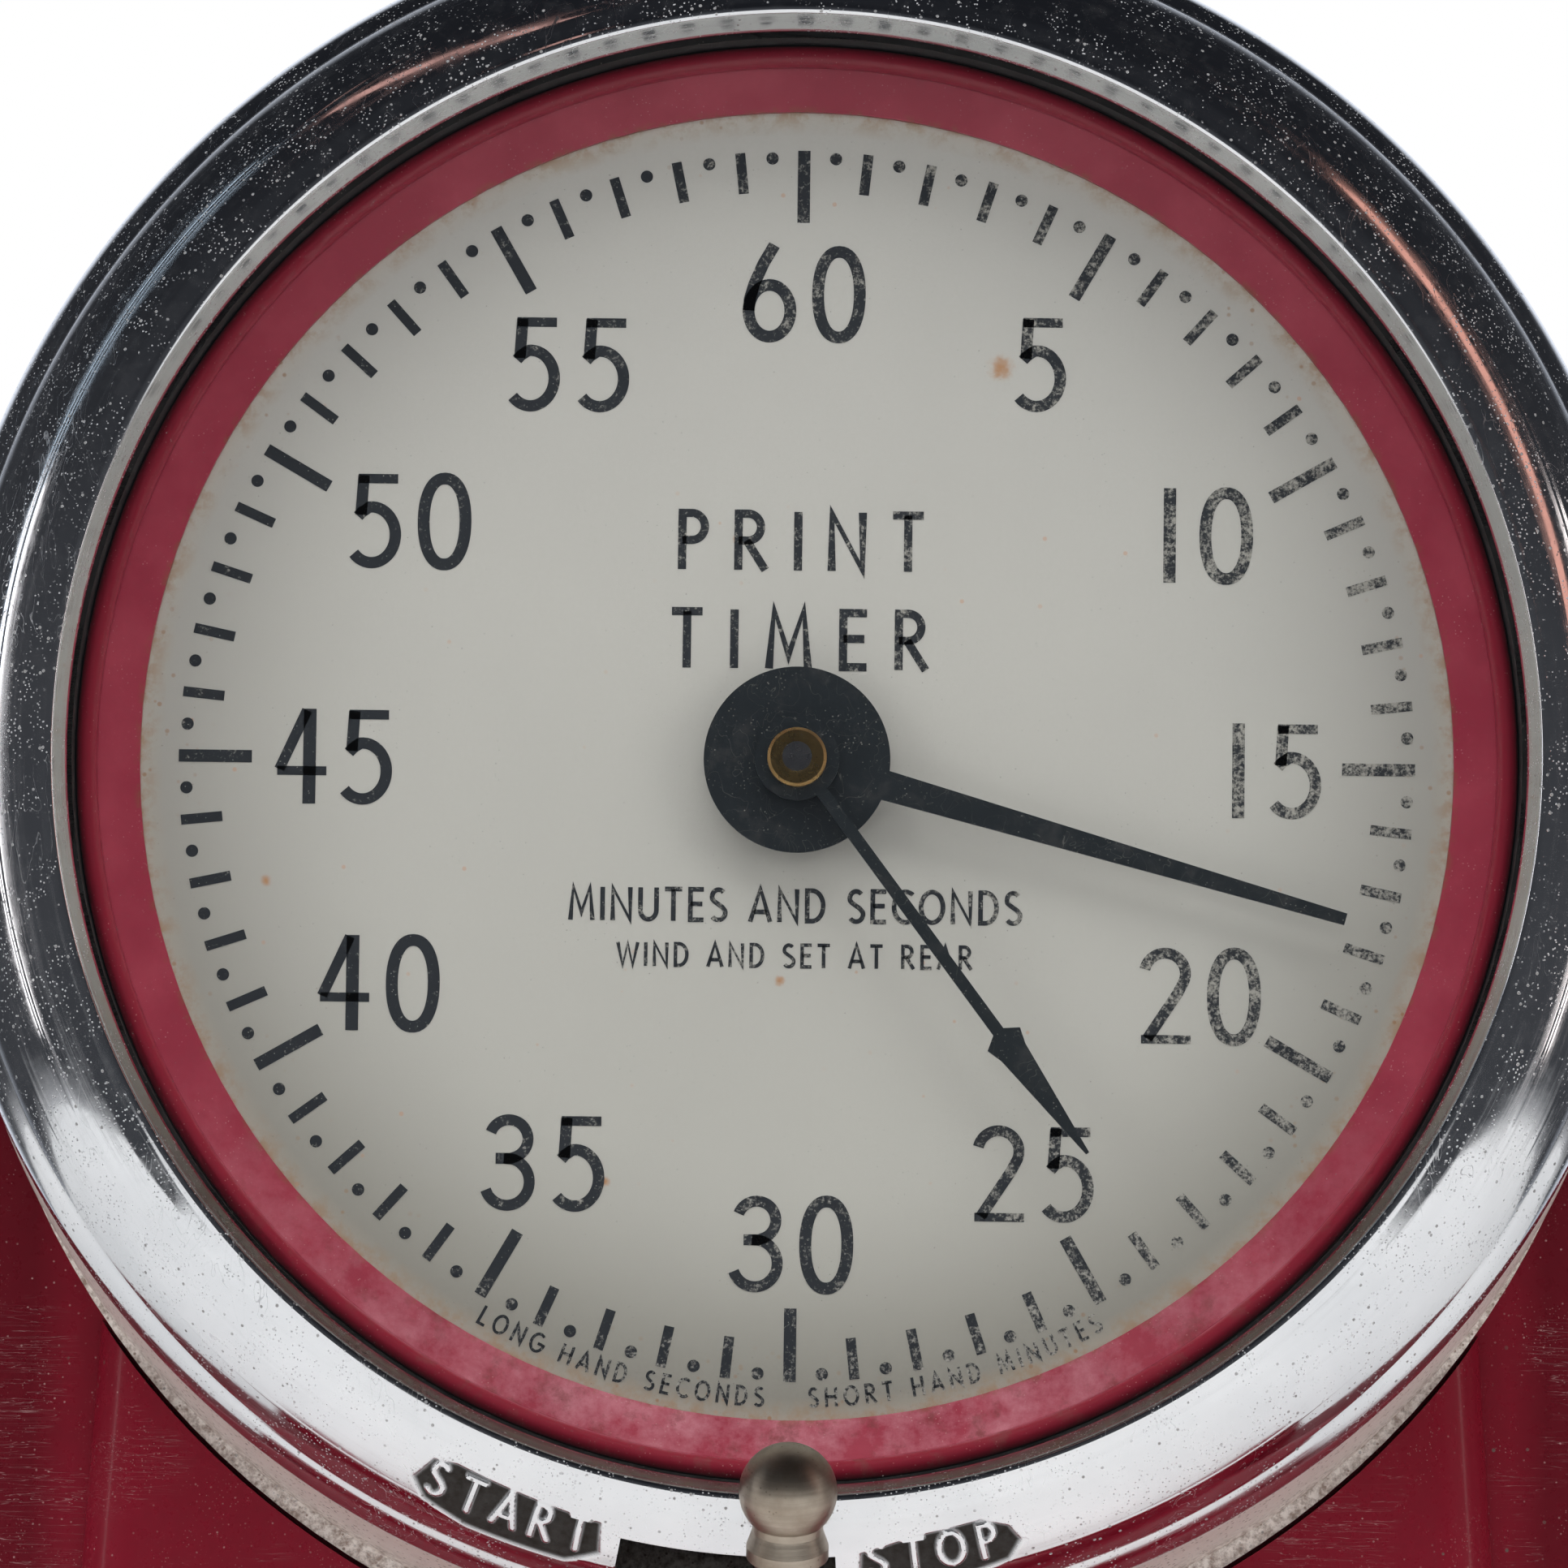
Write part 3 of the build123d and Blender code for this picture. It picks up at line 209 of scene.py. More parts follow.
def make_chrome(name="worn_chrome", stamped=False):
    """Polished plate, hazed and finely pitted; the skirt is pale and brushed, with bare spots behind, and
    painted shade on the lower inner lip.
    """
    s = Shader(name)
    radius = s.radius()
    pits = s.both(s.spots(1.25, 0.1, 0.06), s.ramp(s.noise(0.22, 5, 0.7), 0.46, 0.56))
    fine = s.both(
        s.spots(3.6, 0.16, 0.1),
        s.ramp(s.noise(0.3, 5, 0.7, where=s.stretch((1, 1, 1), (7, 3, 1))), 0.47, 0.6),
    )
    scratch = s.noise(0.6, 2, 0.5, where=s.stretch((1, 1, 0.25), (5, 1, 2)), distort=1.1)
    scratch = s.both(s.ramp(s.math("ABSOLUTE", s.math("SUBTRACT", scratch, 0.5)), 0.0, 0.006, 1.0, 0.0),
                     s.ramp(s.noise(0.12, 2, where=s.stretch((1, 1, 1), (13, 2, 8))), 0.48, 0.58))
    haze = s.ramp(s.noise(0.5, 7, 0.75, where=s.stretch((1, 1, 1), (2, 5, 3))), 0.38, 0.8)
    cloud = s.ramp(s.noise(0.05, 5, 0.6, where=s.stretch((1, 1, 1), (31, 11, 5))), 0.4, 0.7)
    around = s.combine(s.math("MULTIPLY", s.turn(), 0.02), s.math("MULTIPLY", radius, 1.3), s.axis(1))
    streak = s.ramp(s.noise(1.2, 7, 0.7, where=around), 0.48, 0.72)
    behind = s.ramp(s.axis(1), 0.4, 2.6)
    edge = s.ramp(s.axis(1), 6.5, 10.0)
    dirt = s.both(s.ramp(s.noise(0.7, 6, 0.65), 0.5, 0.68), s.blend(behind, 0.03, 0.9))
    bare = s.either(
        s.both(edge, s.ramp(s.noise(1.6, 6, 0.7), 0.42, 0.62)), s.both(behind, s.spots(1.7, 0.13, 0.1)),
    )
    color = s.mix(cloud, (0.86, 0.875, 0.9), (0.74, 0.76, 0.79))
    color = s.mix(s.both(behind, 0.95), color, (0.95, 0.87, 0.81))
    # painted shade: the inner lip is coloured near black low down, where it lies in shade
    lip_shade = s.both(s.ramp(radius, 49.8, 49.5), s.ramp(s.axis(2), -12.0, -30.0))
    color = s.mix(s.both(lip_shade, 0.9), color, (0.06, 0.045, 0.038))
    color = s.mix(s.both(dirt, 0.3), color, (0.6, 0.5, 0.43))
    color = s.mix(s.both(bare, 0.8), color, (0.22, 0.13, 0.09))
    color = s.mix(s.both(pits, 0.8), color, (0.22, 0.21, 0.2))
    color = s.mix(s.both(fine, 0.55), color, (0.34, 0.34, 0.35))
    rough = s.blend(haze, 0.045, 0.2)
    rough = s.blend(streak, rough, 0.3)
    rough = s.blend(s.either(s.either(pits, s.either(fine, scratch)), s.either(dirt, bare)), rough, 0.55)
    rough = s.blend(s.both(behind, 0.8), rough, 0.42)
    height = s.math("SUBTRACT", s.math("MULTIPLY", s.noise(0.6, 5, 0.55), 0.25), s.math("ADD", pits, fine))
    wave = s.bump(s.noise(0.12, 2, 0.4), 0.05, 0.35)
    normal = s.bump(height, 0.012, 0.8, wave)
    grimed = s.either(s.both(bare, 0.7), s.both(dirt, 0.4))
    metallic = s.blend(s.either(grimed, s.both(s.either(pits, fine), 0.8)), 1.0, 0.3)
    metallic = s.blend(s.both(behind, 0.75), metallic, 0.15)
    if stamped:
        recess = s.tree.nodes.new("ShaderNodeAttribute")
        recess.attribute_name = "stamped"
        recess = recess.outputs["Fac"]
        grime = s.ramp(s.noise(1.3, 5, 0.65, where=s.stretch((1, 1, 1), (8, 4, 2))), 0.3, 0.7, 0.965, 1.0)
        color = s.mix(s.both(recess, grime), color, (0.02, 0.016, 0.013))
        rough = s.blend(recess, rough, 0.45)
        metallic = s.blend(recess, metallic, 0.05)
        shine = s.blend(recess, 0.5, 0.1)
        return s.finish(
            Base_Color=color, Metallic=metallic, Roughness=rough, Normal=normal, Specular_IOR_Level=shine,
        )
    return s.finish(Base_Color=color, Metallic=metallic, Roughness=rough, Normal=normal)


def make_enamel(name, deep, light, gloss, coat):
    """Crimson stoving enamel with dust, scratches and chips, and painted shade darkening the front of the
    wings.
    """
    s = Shader(name)
    tone = s.ramp(s.noise(0.03, 4), 0.35, 0.65)
    mottle = s.ramp(s.noise(1.1, 5, 0.6), 0.4, 0.75)
    dust = s.both(s.spots(1.35, 0.07, 0.05), s.ramp(s.noise(0.11, 3), 0.4, 0.6))
    fine_dust = s.both(
        s.spots(4.0, 0.12, 0.06),
        s.ramp(s.noise(0.23, 4, where=s.stretch((1, 1, 1), (3, 9, 4))), 0.48, 0.66),
    )
    scratch = s.noise(0.9, 3, 0.5, where=s.stretch((0.12, 1, 2.4), (5, 1, 2)), distort=1.4)
    scratch = s.both(s.ramp(s.math("ABSOLUTE", s.math("SUBTRACT", scratch, 0.5)), 0.0, 0.008, 1.0, 0.0),
                     s.ramp(s.noise(0.09, 2, where=s.stretch((1, 1, 1), (13, 2, 8))), 0.52, 0.6))
    chips = s.both(
        s.spots(0.55, 0.06, 0.03),
        s.ramp(s.noise(0.07, 2, where=s.stretch((1, 1, 1), (1, 22, 3))), 0.52, 0.6),
    )
    color = s.mix(tone, deep, light)
    depth = s.axis(1)
    front = s.both(s.ramp(depth, 11.0, 12.5), s.ramp(depth, 18.0, 14.5))
    # painted shade: the front faces of the wings, beside the raised panel, are darkened towards half the deep
    # tone
    wing_shade = s.both(s.ramp(s.math("ABSOLUTE", s.axis(0)), 49.5, 52.0), front)
    color = s.mix(s.both(wing_shade, 0.75), color, tuple(0.5 * c for c in deep))
    color = s.mix(s.both(mottle, 0.2), color, tuple(0.72 * c for c in deep))
    color = s.mix(s.both(scratch, 0.35), color, (0.62, 0.4, 0.4))
    color = s.mix(s.both(s.either(dust, fine_dust), 0.38), color, (0.62, 0.4, 0.38))
    color = s.mix(s.both(chips, 0.85), color, (0.13, 0.09, 0.08))
    rough = s.blend(mottle, gloss, gloss + 0.1)
    rough = s.blend(s.either(scratch, s.either(dust, fine_dust)), rough, 0.6)
    peel = s.bump(s.noise(0.55, 3, 0.45), 0.05, 0.35)
    height = s.math("SUBTRACT", s.math("MULTIPLY", dust, 0.8), s.math("ADD", scratch, chips))
    normal = s.bump(height, 0.01, 0.7, peel)
    return s.finish(Base_Color=color, Metallic=0.0, Roughness=rough, Normal=normal,
                    Specular_IOR_Level=0.2, Coat_Weight=coat, Coat_Roughness=0.09)


def make_ring_enamel():
    """The dial's surround: a satin, dusty band and a deep red glossy bead, scuffed low down."""
    s = Shader("ring_enamel")
    radius = s.radius()
    low = s.ramp(s.axis(2), -20.0, -46.0)
    bead = s.ramp(radius, 47.15, 47.4)
    mottle = s.ramp(s.noise(1.6, 6, 0.65), 0.42, 0.72)
    cloud = s.ramp(s.noise(0.16, 4, 0.6), 0.4, 0.65)
    scuff = s.both(s.ramp(s.noise(0.42, 6, 0.7, where=s.stretch((1, 1, 1), (4, 8, 1))), 0.53, 0.66), low)
    inner = s.both(s.ramp(radius, 44.9, 44.45), s.ramp(s.noise(0.9, 5, 0.7), 0.5, 0.62))
    specks = s.both(s.spots(3.1, 0.1, 0.06), s.ramp(s.noise(0.3, 3), 0.44, 0.58))
    color = s.mix(cloud, (0.265, 0.022, 0.045), (0.32, 0.038, 0.064))
    bloom = s.both(low, s.ramp(s.noise(0.2, 6, 0.7, where=s.stretch((1, 1, 1), (3, 6, 2))), 0.4, 0.6))
    color = s.mix(s.both(bloom, 0.75), color, (0.5, 0.19, 0.23))
    color = s.mix(s.both(mottle, 0.22), color, (0.24, 0.03, 0.05))
    color = s.mix(bead, color, (0.2, 0.008, 0.022))
    color = s.mix(s.both(scuff, 0.75), color, (0.17, 0.04, 0.04))
    color = s.mix(s.both(specks, 0.4), color, (0.55, 0.35, 0.33))
    color = s.mix(s.both(inner, 0.7), color, (0.2, 0.07, 0.04))
    rough = s.blend(mottle, 0.36, 0.5)
    rough = s.blend(bead, rough, 0.28)
    rough = s.blend(s.either(scuff, specks), rough, 0.62)
    normal = s.bump(s.noise(0.8, 3, 0.5), 0.03, 0.3)
    normal = s.bump(s.math("ADD", scuff, specks), 0.012, 0.6, normal)
    return s.finish(Base_Color=color, Roughness=rough, Normal=normal, Specular_IOR_Level=0.32,
                    Coat_Weight=0.08, Coat_Roughness=0.22)


# rust stains on the dial: right, up, size
STAINS = ((13.5, 27.1, 1.1), (-1.0, -14.8, 0.5), (-4.2, 15.2, 0.45), (-12.6, -28.5, 0.45), (-35.8, -8.4, 0.5))


def make_dial_paint():
    """Aged cream dial: cloudy tone, rust flecks and stains, and painted shade towards the bottom and round
    the lower edge.
    """
    s = Shader("dial_paint")
    radius = s.radius()
    cloud = s.ramp(s.noise(0.035, 4, 0.5), 0.35, 0.65)
    grain = s.ramp(s.noise(3.5, 5, 0.6), 0.35, 0.7)
    # painted shade: a mask that grows towards the bottom of the dial
    low = s.ramp(s.axis(2), 25.0, -44.0)
    edge = s.ramp(radius, 42.9, 44.5)
    rim = s.both(edge, s.ramp(s.noise(0.5, 6, 0.7), 0.46, 0.6))
    flecks = s.both(
        s.spots(0.42, 0.05, 0.03),
        s.ramp(s.noise(0.12, 2, where=s.stretch((1, 1, 1), (17, 3, 6))), 0.46, 0.56),
    )
    edge_flecks = s.both(s.spots(0.9, 0.1, 0.07), s.ramp(radius, 39.0, 44.0))
    edge_flecks = s.both(
        edge_flecks, s.ramp(s.noise(0.09, 3, where=s.stretch((1, 1, 1), (2, 3, 29))), 0.47, 0.58),
    )
    dark_specks = s.both(
        s.spots(1.1, 0.035, 0.02), s.ramp(s.noise(0.2, 2, where=s.stretch((1, 1, 1), (2, 3, 5))), 0.5, 0.6),
    )
    stains = None
    for x, y, size in STAINS:
        across = s.math("SUBTRACT", s.axis(0), x)
        up = s.math("SUBTRACT", s.axis(2), y)
        away = s.math("SQRT", s.math("ADD", s.math("MULTIPLY", across, across), s.math("MULTIPLY", up, up)))
        away = s.math(
            "ADD", away, s.math("MULTIPLY", s.math("SUBTRACT", s.noise(1.9, 4, 0.6), 0.5), 1.1 * size),
        )
        spot = s.ramp(away, 0.05 * size, size, 1.0, 0.0, "SMOOTHSTEP")
        stains = spot if stains is None else s.either(stains, spot)
    color = s.mix(cloud, (0.5, 0.497, 0.462), (0.475, 0.472, 0.44))
    # painted shade: the lower part of the dial is darkened and greyed
    color = s.mix(s.both(low, 0.35), color, (0.4, 0.4, 0.345))
    # painted shade: darker towards the edge at the sides and bottom, not at the top
    shade = s.both(s.ramp(radius, 27.0, 46.0, kind="SMOOTHSTEP"), s.ramp(s.axis(2), 34.0, -44.0))
    color = s.mix(s.both(shade, 0.9), color, (0.22, 0.216, 0.183))
    color = s.mix(s.both(grain, 0.12), color, (0.4, 0.39, 0.34))
    color = s.mix(s.both(edge, 0.4), color, (0.5, 0.45, 0.36))
    color = s.mix(s.both(rim, 0.65), color, (0.33, 0.2, 0.1))
    color = s.mix(s.both(flecks, 0.5), color, (0.5, 0.27, 0.15))
    color = s.mix(s.both(edge_flecks, 0.7), color, (0.31, 0.17, 0.08))
    color = s.mix(s.both(stains, 0.85), color, (0.4, 0.19, 0.07))
    color = s.mix(s.both(dark_specks, 0.6), color, (0.12, 0.11, 0.1))
    rough = s.blend(grain, 0.6, 0.72)
    normal = s.bump(s.noise(2.0, 4, 0.6), 0.01, 0.4)
    return s.finish(Base_Color=color, Roughness=rough, Normal=normal, Specular_IOR_Level=0.35)


def make_print():
    """Screen-printed black, rubbed and speckled, most on the right and low down."""
    s = Shader("dial_print")
    radius = s.radius()
    wear = s.math("ADD", s.ramp(s.axis(0), -30.0, 40.0), s.math("MULTIPLY", s.noise(0.06, 3), 0.9))
    low_rub = s.both(s.ramp(radius, 39.5, 42.5), s.ramp(s.axis(2), -24.0, -36.0))
    wear = s.math("ADD", wear, s.math("MULTIPLY", low_rub, 0.4))
    speckle = s.noise(3.4, 6, 0.75)
    coarse = s.noise(0.9, 5, 0.7, where=s.stretch((1, 1, 1), (6, 2, 3)))
    amount = s.math("ADD", s.math("MULTIPLY", speckle, 0.62), s.math("MULTIPLY", coarse, 0.38))
    limit = s.math("SUBTRACT", 0.665, s.math("MULTIPLY", wear, 0.122))
    worn = s.ramp(s.math("SUBTRACT", amount, limit), -0.035, 0.07)
    chips = s.spots(2.4, 0.07, 0.04)
    worn = s.either(worn, s.both(chips, 0.8))
    color = s.mix(worn, (0.022, 0.026, 0.031), (0.34, 0.335, 0.3))
    normal = s.bump(amount, 0.01, 0.3)
    return s.finish(
        Base_Color=color, Roughness=s.blend(worn, 0.5, 0.7), Normal=normal, Specular_IOR_Level=0.3,
    )


def make_hand_black():
    s = Shader("hand_black")
    dust = s.both(s.spots(3.0, 0.11, 0.06), s.ramp(s.noise(0.35, 4), 0.44, 0.6))
    rub = s.ramp(s.noise(0.55, 6, 0.7, where=s.stretch((1, 1, 1), (5, 5, 1))), 0.52, 0.72)
    hair = s.noise(0.5, 2, 0.5, where=s.stretch((1, 1, 1), (9, 1, 7)), distort=1.0)
    hair = s.ramp(s.math("ABSOLUTE", s.math("SUBTRACT", hair, 0.5)), 0.0, 0.004, 1.0, 0.0)
    color = s.mix(s.both(rub, 0.5), (0.013, 0.017, 0.02), (0.05, 0.05, 0.05))
    color = s.mix(s.both(dust, 0.5), color, (0.3, 0.29, 0.26))
    color = s.mix(s.both(hair, 0.25), color, (0.3, 0.29, 0.26))
    rough = s.blend(s.either(rub, dust), 0.38, 0.62)
    normal = s.bump(s.math("ADD", s.noise(2.2, 4), dust), 0.012, 0.5)
    return s.finish(Base_Color=color, Roughness=rough, Normal=normal, Specular_IOR_Level=0.4)


def make_metal(name, base, dull, rough_low, rough_high, grain=(1, 1, 1), grain_scale=3.0, turned=None):
    """Machined metal: directional or turned grain, tarnish clouds and stain spots."""
    s = Shader(name)
    if turned is None:
        lines = s.noise(grain_scale, 4, 0.6, where=s.stretch(grain))
    else:
        along = s.tree.nodes.new("ShaderNodeVectorMath")
        along.operation = "DOT_PRODUCT"
        s.set(along.inputs[0], s.mm)
        s.set(along.inputs[1], turned)
        wobble = s.math("MULTIPLY", s.noise(0.4, 2), 0.25)
        lines = s.noise(
            grain_scale, 5, 0.75, where=s.combine(s.math("ADD", along.outputs["Value"], wobble), 0.0, 0.0),
        )
        lines = s.ramp(lines, 0.35, 0.65)
    tarnish = s.ramp(s.noise(0.28, 5, 0.62), 0.4, 0.7)
    stain = s.both(
        s.spots(2.3, 0.1, 0.1), s.ramp(s.noise(0.3, 3, where=s.stretch((1, 1, 1), (4, 4, 9))), 0.46, 0.6),
    )
    color = s.mix(tarnish, base, dull)
    color = s.mix(s.both(s.ramp(lines, 0.35, 0.7), 0.3), color, tuple(0.62 * c for c in base))
    color = s.mix(s.both(stain, 0.5), color, tuple(0.3 * c for c in dull))
    rough = s.blend(tarnish, rough_low, rough_high)
    rough = s.blend(s.both(stain, 0.5), rough, 0.65)
    normal = s.bump(lines, 0.012, 0.6)
    return s.finish(Base_Color=color, Metallic=1.0, Roughness=rough, Normal=normal)


def make_rubber(name, base, rough):
    s = Shader(name)
    bloom = s.ramp(s.noise(0.5, 5, 0.6), 0.4, 0.7)
    dust = s.both(s.spots(2.8, 0.1, 0.08), s.ramp(s.noise(0.4, 3), 0.45, 0.6))
    color = s.mix(s.both(bloom, 0.5), base, tuple(2.2 * c + 0.01 for c in base))
    color = s.mix(s.both(dust, 0.35), color, (0.3, 0.28, 0.25))
    normal = s.bump(s.math("ADD", s.noise(3.2, 5, 0.65), dust), 0.02, 0.5)
    return s.finish(Base_Color=color, Roughness=s.blend(bloom, rough, min(1.0, rough + 0.15)), Normal=normal,
                    Specular_IOR_Level=0.4)


def make_crystal():
    """Clear flat glass: only its faint mirror and a few dust specks are seen."""
    s = Shader("crystal_glass")
    dust = s.both(s.spots(1.6, 0.045, 0.03), s.ramp(s.noise(0.17, 3), 0.5, 0.6))
    color = s.mix(dust, (0.93, 0.95, 0.95), (0.6, 0.58, 0.54))
    alpha = s.blend(dust, 0.035, 0.3)
    rough = s.blend(dust, 0.03, 0.7)
    return s.finish(Base_Color=color, Metallic=s.blend(dust, 1.0, 0.0), Roughness=rough, Alpha=alpha)


knob_axis = Vector((0.0, 2.5, -5.4)).normalized()
finishes = {
    "chrome": make_chrome(),
    "crimson_enamel": make_enamel(
        "crimson_enamel", (0.162, 0.006, 0.0155), (0.19, 0.0078, 0.02), 0.27, 0.14,
    ),
    "crimson_ring_enamel": make_ring_enamel(), "dial_paint": make_dial_paint(),
    "crystal_glass": make_crystal(),
    "black_rubber": make_rubber("black_rubber", (0.012, 0.012, 0.012), 0.75),
    "hand_black": make_hand_black(),
    "brass": make_metal("aged_brass", (0.6, 0.42, 0.17), (0.38, 0.25, 0.11), 0.25, 0.42, (1, 1, 9), 1.6),
    "nickel": make_metal(
        "turned_nickel", (0.47, 0.41, 0.34), (0.33, 0.27, 0.21), 0.36, 0.48, grain_scale=2.6,
        turned=tuple(knob_axis),
    ),
    "plated_steel": make_metal(
        "plated_steel", (0.56, 0.54, 0.5), (0.42, 0.4, 0.36), 0.32, 0.5, (6, 1, 1), 2.0,
    ),
    "blued_spring_steel": make_metal(
        "blued_spring", (0.1, 0.12, 0.2), (0.12, 0.1, 0.14), 0.25, 0.4, (1, 8, 1), 2.0,
    ),
    "steel": make_metal("machined_steel", (0.55, 0.55, 0.56), (0.4, 0.38, 0.36), 0.22, 0.4, (1, 7, 1), 2.4),
    "black_plastic": make_rubber("black_plastic", (0.014, 0.014, 0.015), 0.35),
}
print_black = make_print()

for node in nodes.values():
    slot_name = node.data.materials[0].name.split(".")[0]
    node.data.materials[0] = finishes[slot_name]


# ---------------------------------------------------------------- stroke lettering


def arc(cx, cy, rx, ry, start, end, power=1.0):
    count = max(6, int(abs(end - start) / 8))
    points = []
    for i in range(count + 1):
        a = math.radians(start + (end - start) * i / count)
        c, n = math.cos(a), math.sin(a)
        across, up = math.copysign(abs(c) ** power, c), math.copysign(abs(n) ** power, n)
        points.append((cx + rx * across, cy + ry * up))
    return points


def digits():
    """Centre lines of the figures, cap height 1, as (width, [(stroke width, points)])."""
    w = 0.125
    return {
        "0": (0.56, [(w, arc(0.28, 0.5, 0.22, 0.455, 90, 450, 0.9))]),
        "1": (0.13, [(0.13, [(0.065, 0.0), (0.065, 1.0)])]),
        "2": (0.54, [(0.115, arc(0.265, 0.735, 0.215, 0.215, 168, -22) + [(0.4, 0.53), (0.085, 0.05)]),
                     (0.09, [(0.02, 0.045), (0.54, 0.045)])]),
        "3": (0.53, [(0.115, arc(0.25, 0.75, 0.2, 0.2, 160, -72) + [(0.27, 0.545), (0.115, 0.545)]),
                     (0.115, [(0.2, 0.545)] + arc(0.235, 0.3, 0.235, 0.245, 78, -160))]),
        "4": (0.56, [(0.134, [(0.377, 0.0), (0.377, 1.0)]), (0.095, [(0.04, 0.347), (0.556, 0.347)]),
                     (0.11, [(0.345, 0.985), (0.062, 0.36)])]),
        "5": (0.56, [(0.1, [(0.1, 0.945), (0.515, 0.945)]), (0.12, [(0.155, 0.98), (0.13, 0.56)]),
                     (0.12, [(0.1, 0.545), (0.14, 0.59)] + arc(0.245, 0.35, 0.25, 0.295, 96, -138))]),
        "6": (0.56, [(w, [(0.325, 1.02), (0.21, 0.82), (0.115, 0.6), (0.07, 0.44)]
                      + arc(0.28, 0.32, 0.22, 0.275, 165, 540))]),
    }


def capitals():
    """Centre lines of plain capitals, cap height 1, as (width, [points])."""
    foot = (0.06, 0.04)
    stem = [(0.06, 0), (0.06, 0.96), (0.2, 0.96)]
    bowl = arc(0.22, 0.73, 0.22, 0.23, 88, -88) + [(0.06, 0.5)]
    return {
        "A": (0.66, [[(0.03, 0), (0.33, 1), (0.63, 0)], [(0.13, 0.3), (0.53, 0.3)]]),
        "C": (0.62, [arc(0.4, 0.5, 0.35, 0.46, 52, 308)]),
        "D": (0.6, [[foot, (0.06, 0.96), (0.2, 0.96)] + arc(0.2, 0.5, 0.34, 0.46, 86, -86) + [foot]]),
        "E": (0.46, [[(0.46, 0.96), (0.06, 0.96), (0.06, 0.04), (0.46, 0.04)], [(0.06, 0.52), (0.42, 0.52)]]),
        "G": (0.68, [arc(0.4, 0.5, 0.35, 0.46, 52, 352) + [(0.62, 0.46), (0.42, 0.46)]]),
        "H": (0.62, [[(0.06, 0), (0.06, 1)], [(0.56, 0), (0.56, 1)], [(0.06, 0.52), (0.56, 0.52)]]),
        "I": (0.12, [[(0.06, 0), (0.06, 1)]]),
        "L": (0.44, [[(0.06, 1), (0.06, 0.04), (0.44, 0.04)]]),
        "M": (0.76, [[(0.05, 0), (0.13, 1), (0.38, 0.22), (0.63, 1), (0.71, 0)]]),
        "N": (0.64, [[(0.06, 0), (0.06, 0.98), (0.58, 0.02), (0.58, 1)]]),
        "O": (0.76, [arc(0.38, 0.5, 0.33, 0.46, 90, 450)]),
        "P": (0.5, [stem + bowl]),
        "R": (0.56, [stem + bowl, [(0.2, 0.5), (0.52, 0)]]),
        "S": (0.5, [arc(0.25, 0.74, 0.19, 0.215, 38, 200) + [(0.13, 0.6), (0.36, 0.44)]
                    + arc(0.25, 0.26, 0.21, 0.215, 20, -145)]),
        "T": (0.52, [[(0.0, 0.96), (0.52, 0.96)], [(0.26, 0), (0.26, 0.96)]]),
        "U": (0.6, [[(0.06, 1), (0.06, 0.32)] + arc(0.3, 0.32, 0.24, 0.28, 180, 360) + [(0.54, 1)]]),
        "W": (0.9, [[(0.03, 1), (0.24, 0.02), (0.45, 0.96), (0.66, 0.02), (0.87, 1)]]),
    }


FIGURES = digits()
CAPITALS = capitals()


def layout(text, height, gap, stroke):
    """Strokes of a line of text centred on the origin: [(width, points)], with the line's width."""
    strokes, x = [], 0.0
    for i, letter in enumerate(text):
        if letter == " ":
            x += 0.3 * height + (0.0 if callable(gap) else gap * height)
            continue
        if letter in FIGURES:
            width, parts = FIGURES[letter]
        else:
            width, parts = CAPITALS[letter][0], [(stroke / height, p) for p in CAPITALS[letter][1]]
        for thick, points in parts:
            strokes.append((thick * height, [(x + px * height, (py - 0.5) * height) for px, py in points]))
        x += width * height
        if i + 1 < len(text):
            x += gap(letter, text[i + 1]) * height if callable(gap) else gap * height
    return [(t, [(px - x / 2, py) for px, py in pts]) for t, pts in strokes], x


def ribbon(points, width):
    """Left and right edges of a flat band that follows a line, with mitred corners."""
    pts = [points[0]]
    for p in points[1:]:
        if math.dist(p, pts[-1]) > 1e-6:
            pts.append(p)
    closed = len(pts) > 3 and math.dist(pts[0], pts[-1]) < 1e-4
    left, right = [], []
    for i, p in enumerate(pts):
        before = pts[i - 1] if i else (pts[-2] if closed else None)
        after = pts[i + 1] if i + 1 < len(pts) else (pts[1] if closed else None)
        directions = []
        for a, b in ((before, p), (p, after)):
            if a is not None and b is not None:
                d = math.dist(a, b)
                directions.append(((b[0] - a[0]) / d, (b[1] - a[1]) / d))
        tx = sum(d[0] for d in directions)
        ty = sum(d[1] for d in directions)
        length = math.hypot(tx, ty) or 1.0
        tx, ty = tx / length, ty / length
        reach = width / 2
        if len(directions) == 2:
            cosine = directions[0][0] * tx + directions[0][1] * ty
            reach /= max(0.45, cosine)
        left.append((p[0] - ty * reach, p[1] + tx * reach))
        right.append((p[0] + ty * reach, p[1] - tx * reach))
    return left, right


class Print:
    """Thin printed figures gathered into one mesh, a hair above the dial's face."""

    level = 0.03

    def __init__(self):
        self.verts, self.faces = [], []

    def band(self, points, width, spot=lambda x, y: (x, y)):
        left, right = ribbon(points, width)
        base = len(self.verts)
        for (lx, ly), (rx, ry) in zip(left, right):
            for x, y in ((lx, ly), (rx, ry)):
                px, py = spot(x, y)
                self.verts.append(place(px, py, self.level))
        for i in range(len(left) - 1):
            a = base + 2 * i
            self.faces.append((a, a + 1, a + 3, a + 2))

    def dot(self, x, y, radius):
        base = len(self.verts)
        count = 20
        for i in range(count):
            a = 2 * math.pi * i / count
            self.verts.append(place(x + radius * math.cos(a), y + radius * math.sin(a), self.level))
        self.faces.append(tuple(range(base, base + count)))

    def done(self, name):
        piece = link(name, self.verts, self.faces, print_black, "case")
        solid = piece.modifiers.new("thickness", "SOLIDIFY")
        solid.thickness = 0.02 * MM
        solid.offset = -1
        return piece


def on_clock(radius, minutes):
    a = math.radians(6.0 * minutes)
    return radius * math.sin(a), radius * math.cos(a)


